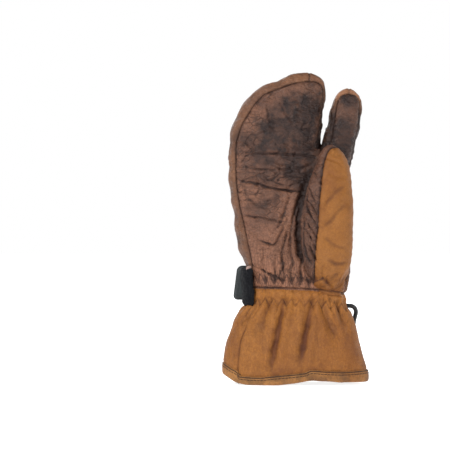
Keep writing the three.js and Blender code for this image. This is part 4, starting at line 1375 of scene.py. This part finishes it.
def rounded(x0, x1, z0, z1, radii):
    """A rectangle in x and z, with a radius for each corner from the lower left one round to the right."""
    corners = [(x0, z0, 1, 1, 1.0), (x1, z0, -1, 1, 1.5), (x1, z1, -1, -1, 0), (x0, z1, 1, -1, 0.5)]
    outline = []
    for (x, z, sx, sz, start), r in zip(corners, radii):
        for turn in start * np.pi + np.linspace(0, np.pi / 2, 8):
            outline.append((x + sx * r + r * np.cos(turn), z + sz * r + r * np.sin(turn)))
    return np.array(outline)


def even(outline, spacing):
    """The same closed outline with points about this far apart."""
    loop = np.vstack([outline, outline[:1]])
    return spread(loop, int(lengths_along(loop)[-1] / spacing))


def plate(outline, thickness, surface, edge=0.6, spacing=1.0):
    """A soft-edged plate with this outline in x and z, lying on a surface y = surface(x, z)."""
    outline = even(outline, spacing)
    centre = (outline.min(axis=0) + outline.max(axis=0)) / 2
    span = (outline.max(axis=0) - outline.min(axis=0)) / 2
    rows = []
    for scale in np.linspace(0.03, 1 - 2.5 * edge / span.min(), 9):
        rows.append((scale, 0.0))
    for turn in np.linspace(0.15, 0.5, 4) * np.pi:
        rows.append((1 - edge / span.min() * (1 - np.sin(turn)), edge * (1 - np.cos(turn))))
    rows += [(scale, thickness - y) for scale, y in rows[::-1]]
    layers = []
    for scale, y in rows:
        loop = centre + (outline - centre) * scale
        base = surface(loop[:, 0], loop[:, 1])
        layers.append(np.stack([loop[:, 0], base + y, loop[:, 1]], axis=1))
    return np.vstack(layers), capped_faces(len(rows), len(outline))


def stood_up(loops, heights):
    """Closed outlines in x and y, one above the other at these heights, as one grid of vertices."""
    rows = [np.insert(loop, 2, z, axis=1) for loop, z in zip(loops, heights)]
    return np.vstack(rows)


def strap_surface(x, z):
    """The strap's inner face, the same at each height: round the wrist, then straight out to its end."""
    ring = HAND.at(np.linspace(0.02, np.pi - 0.02, 200), np.full(200, float(STRAP_LEVEL)))[::-1]
    wrapped = np.interp(x, ring[:, 0], ring[:, 1]) + 2.4 - 1.5 * fade(x, 0, 20)
    return wrapped + (21.6 - wrapped) * fade(x, -20, -31)


def tilted(points, root_x, middle_z):
    """Leans the tab's free end, so that its lower corner is further out, and lets it hang a little."""
    points = points.copy()
    free = fade(points[:, 0], root_x, root_x - 14)
    points[:, 0] += (1.2 + (points[:, 2] - middle_z) * 0.13) * free
    points[:, 2] -= 1.4 * free
    return points


def build_strap():
    outline = rounded(-34, 36, 88, 119, (1, 3, 3, 1))
    points, faces = plate(outline, STRAP_THICK, strap_surface)
    tone = 0.5 * fade(rough(points, 14, 3, 81), 0, 0.8)
    strap = add_piece("strap", points, faces, TAN, "tan_leather", ("wrist_strap",), None, tone)
    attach(strap, "hand")
    parts = []
    border = even(rounded(-32, 34, 90, 117, (2, 2, 2, 2)), 0.5)
    box = even(rounded(22, 33, 92, 115, (0.4, 0.4, 0.4, 0.4)), 0.5)
    for line in (border, box):
        for start in range(0, len(line) - 5, 7):
            piece = line[start:start + 5]
            y = strap_surface(piece[:, 0], piece[:, 1]) + STRAP_THICK
            parts.append(tube(np.stack([piece[:, 0], y + 0.05, piece[:, 1]], axis=1), 0.3))
    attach(add_piece("strap_stitches", *joined(parts), TAN_THREAD, "tan_leather"), "hand")


def build_tab():
    """The strap's free end and its hooks, made to the CAD tab's size."""
    low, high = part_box("strap_tab")
    x0, x1 = ((low[0], high[0]) - SHIFT[0]) * 1000
    y0, y1 = ((low[1], high[1]) - SHIFT[1]) * 1000
    z0, z1 = low[2] * 1000, high[2] * 1000
    parts = [
        ("tab", rounded(x0, x1, z0, z1, (5, 1, 1, 5)), y1 - y0, 0, TAPE, "hook_backing", "strap_tab"),
        ("tab_hooks", rounded(x0 + 1.4, x1 - 2, z0 + 1.4, z1 - 1.4, (4, 2, 2, 4)), 1.3, 1.35, HOOKS,
         "hook_tape", "strap_hook_pad"),
    ]
    for name, outline, thickness, inwards, material, slot, node in parts:
        def bowed(x, _):
            return y0 + 0.5 * np.sin((x - x0) / (x1 - x0) * np.pi) - inwards
        points, faces = plate(outline, thickness, bowed)
        points = tilted(points, x1, (z0 + z1) / 2)
        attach(add_piece(name, points, faces, material, slot, (node,)), "strap_end")


def build_pile():
    """The loop patch sewn over the little finger's side of the wrist, thick with worn pile."""
    section = smooth_line([
        (-42.6, -14.5), (-46.8, -13.8), (-51, -9.5), (-53.4, -2), (-53, 6), (-49.5, 13), (-45, 15.5),
        (-43.4, 11), (-44.4, 0), (-43.4, -9),
    ], closed=True)
    section = even(section, 0.7)
    centre = np.array([-46.0, -2.0])
    z = np.linspace(79, 117, 56)
    loops = []
    for height in z:
        nearer_end = min(height - z[0], z[-1] - height)
        scale = 0.55 + 0.45 * np.sqrt(min(nearer_end / 3.0, 1))
        loop = centre + (section - centre) * scale
        loops.append(loop - np.array([1.5 * fade(height, 92, 102), 0]))
    points = stood_up(loops, z)
    normals = normals_of(points, grid_faces(len(z), len(section)))
    fuzz = 0.45 * noise(points, 1.6, 91) + 0.5 * noise(points, 3.4, 92) + 0.5 * noise(points, 12, 93)
    points = points + normals * (fuzz - 0.3)[:, None]
    faces = capped_faces(len(z), len(section))
    patch = add_piece("pile_patch", points, faces, PILE, "loop_pile", ("wrist_pile_panel",))
    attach(patch, "hand")
    # A pale end of the patch's backing sticks out above it.
    points, faces = plate(rounded(-50.6, -45.6, 112, 119, (1, 1, 1.6, 1.6)), 1.0,
                          lambda x, z: -12 + 0.12 * (x + 48) ** 2, 0.3, 0.5)
    points[:, 0] += 0.22 * (points[:, 2] - 115)
    end = add_piece("pile_backing_end", points, faces, BACKING, "hook_backing")
    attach(end, "hand")


# ---------------------------------------------------------------- the clip


def quarter(*numbers):
    """A rounded corner, from the x and z of its start, of its corner and of its end."""
    t = np.linspace(0, 1, 12)[:, None]
    a, b, c = np.array(numbers, float).reshape(3, 2)
    return (1 - t) ** 2 * a + 2 * t * (1 - t) * b + t**2 * c


def build_clip():
    left, right, low, high, r = CLIP_LEFT, CLIP_RIGHT, CLIP_LOW, CLIP_HIGH, CLIP_CORNER
    route = np.vstack([
        [(left, GATE_TOP + 1), (left, (GATE_TOP + high) / 2)],
        quarter(left, high - r, left, high, left + r, high),
        quarter(right - r, high, right, high, right, high - r),
        [(right - 0.3, 69), (right - 1.6, 64)],
        quarter(right - 2.6, low + r, right - 2.8, low, right - r - 1, low),
        [(left + 4.5, low), (left + 3.0, low)],
    ])
    path = np.insert(route, 1, CLIP_Y, axis=1)
    frame_rod = tube(path, CLIP_ROD, 20)
    ears = []
    for side in (-1, 1):
        outline = rounded(left - 2, left + 3.4, low - 2, low + 2, (1.9, 0.8, 0.8, 1.9))
        y = CLIP_Y + (1.25 if side > 0 else -2.55)
        ears.append(plate(outline, 1.3, lambda x, z: y + 0 * x, edge=0.3, spacing=0.4))
    barrel = tube([(left + 3.2, CLIP_Y - 2.2, low), (left + 3.2, CLIP_Y + 2.2, low)], 1.5, 16)
    points, faces = joined([frame_rod, *ears, barrel])
    clip = add_piece("clip_body", points, faces, BLACK_METAL, "black_metal", ("clip_frame",))
    points, faces = tube([(left, CLIP_Y, z) for z in np.linspace(low, GATE_TOP - 0.6, 12)], 0.9, 16)
    gate = add_piece("clip_gate_bar", points, faces, STEEL, "steel_wire", ("clip_gate",))
    pin_path = [(left, CLIP_Y + y, low) for y in np.linspace(-2.9, 2.9, 5)]
    points, faces = tube(pin_path, 0.5, 14)
    pin = add_piece("clip_hinge_pin", points, faces, STEEL, "steel_wire", ("clip_gate_pin",))
    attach(clip, "clip")
    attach(pin, "clip")
    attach(gate, "gate")


def build_clip_loop():
    """A leather loop, sewn to the cuff and bent round the frame's left side."""
    foot = CLIP_Y + 0.7
    turn = np.linspace(-np.pi / 2, np.pi / 2, 14)
    outer_bend, inner_bend = (
        np.column_stack([CLIP_LEFT + out * np.cos(turn), CLIP_Y + out * np.sin(turn)]) for out in (3.5, 2.3)
    )
    section = np.vstack([
        [(26.5, foot - 1.0), (32, foot - 0.9), (38, foot - 0.9), (43, CLIP_Y - 2.4)],
        outer_bend,
        [(43, CLIP_Y + 2.9), (38, foot + 1.6), (32, foot + 1.5), (26.5, foot + 1.4)],
        [(26.5, foot + 0.3), (38, foot + 0.5)],
        inner_bend[::-1],
        [(38, foot + 0.3), (26.5, foot + 0.1)],
    ])
    middle = section.mean(axis=0)
    loops = [middle + (section - middle) * scale for scale in (0.97, 1, 1, 1, 1, 0.97)]
    points = stood_up(loops, (67, 67.4, 70, 73, 75.6, 76))
    faces = capped_faces(len(loops), len(section))
    loop = add_piece("clip_leather_loop", points, faces, STRIP, "brown_leather", ("clip_loop",))
    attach(loop, "cuff")


# ---------------------------------------------------------------- camera, light and floor


def build_stage():
    scene = bpy.context.scene
    camera_data = bpy.data.cameras.new("camera")
    camera_data.lens = 160
    camera_data.clip_end = 60
    camera = bpy.data.objects.new("camera", camera_data)
    camera.location = (*to_frame((-71.5, 0, 0))[:1], -2.01, 0.160)
    camera.rotation_euler = (math.pi / 2, 0, 0)
    scene.collection.objects.link(camera)
    scene.camera = camera

    corners = [(x, y, FLOOR_Z) for x, y in ((-9, -9), (9, -9), (9, 9), (-9, 9))]
    floor = new_object("floor", corners, [[0, 1, 2, 3]])
    n = Nodes("floor_paint")
    speckle = n.remap(n.noise(3, 2), 0.3, 0.7)
    n.finish(n.mix(speckle, linear(236, 236, 236), linear(244, 244, 244)), 0.9, None, Emission_Strength=0.8)
    n.set(n.shader.inputs["Emission Color"], (1, 1, 1, 1))
    floor.data.materials.append(n.material)

    # A white dome shows behind the glove and lights nothing.
    turn = turns(48)
    lift = np.linspace(-0.5 * np.pi + 0.02, 0.5 * np.pi - 0.02, 24)[:, None]
    ball = np.broadcast_arrays(np.cos(turn) * np.cos(lift), np.sin(turn) * np.cos(lift), np.sin(lift))
    ball = DOME_RADIUS * np.stack(ball, axis=-1).reshape(-1, 3)
    dome = new_object("dome", ball, grid_faces(24, 48))
    white = Nodes("dome_white")
    white.finish((0, 0, 0, 1), 1.0, None, Emission_Strength=1.0, Specular_IOR_Level=0.0)
    white.set(white.shader.inputs["Emission Color"], (1, 1, 1, 1))
    dome.data.materials.append(white.material)
    dome.visible_diffuse = dome.visible_glossy = dome.visible_shadow = dome.visible_transmission = False

    world = bpy.data.worlds.new("studio")
    scene.world = world
    world.use_nodes = True
    background = world.node_tree.nodes["Background"]
    background.inputs["Color"].default_value = (1, 1, 1, 1)
    background.inputs["Strength"].default_value = 0.26
    target = Vector((0, 0, 0.16))
    lights = [
        ("key", (-1.5, -1.8, 1.9), 0.9, 80),
        ("fill", (1.6, -2.2, 0.9), 1.5, 27),
        ("back_left", (-1.4, 2.2, 1.6), 1.5, 30),
        ("back_right", (2.0, 1.4, 1.2), 1.5, 24),
    ]
    for name, place, size, power in lights:
        data = bpy.data.lights.new(name, "AREA")
        data.size = size
        data.energy = power
        light = bpy.data.objects.new(name, data)
        light.location = place
        light.rotation_euler = (target - Vector(place)).to_track_quat("-Z", "Y").to_euler()
        scene.collection.objects.link(light)
    scene.view_settings.view_transform = "Standard"


build_stage()
hand_skin = build_hand()
thumb_skin = build_thumb()
cuff_skin = build_cuff()
hem_skin = build_hem()
build_lining()
build_padding()
build_elastics()
build_zigzag("upper_zigzag", surface_tree(hand_skin, thumb_skin), HAND, UPPER_ZIGZAG,
             (BROWN_THREAD, TAN_THREAD))
build_zigzag("lower_zigzag", surface_tree(cuff_skin), CUFF, LOWER_ZIGZAG, (TAN_THREAD,))
build_hem_stitches(surface_tree(hem_skin))
build_strap()
build_tab()
build_pile()
build_clip()
build_clip_loop()
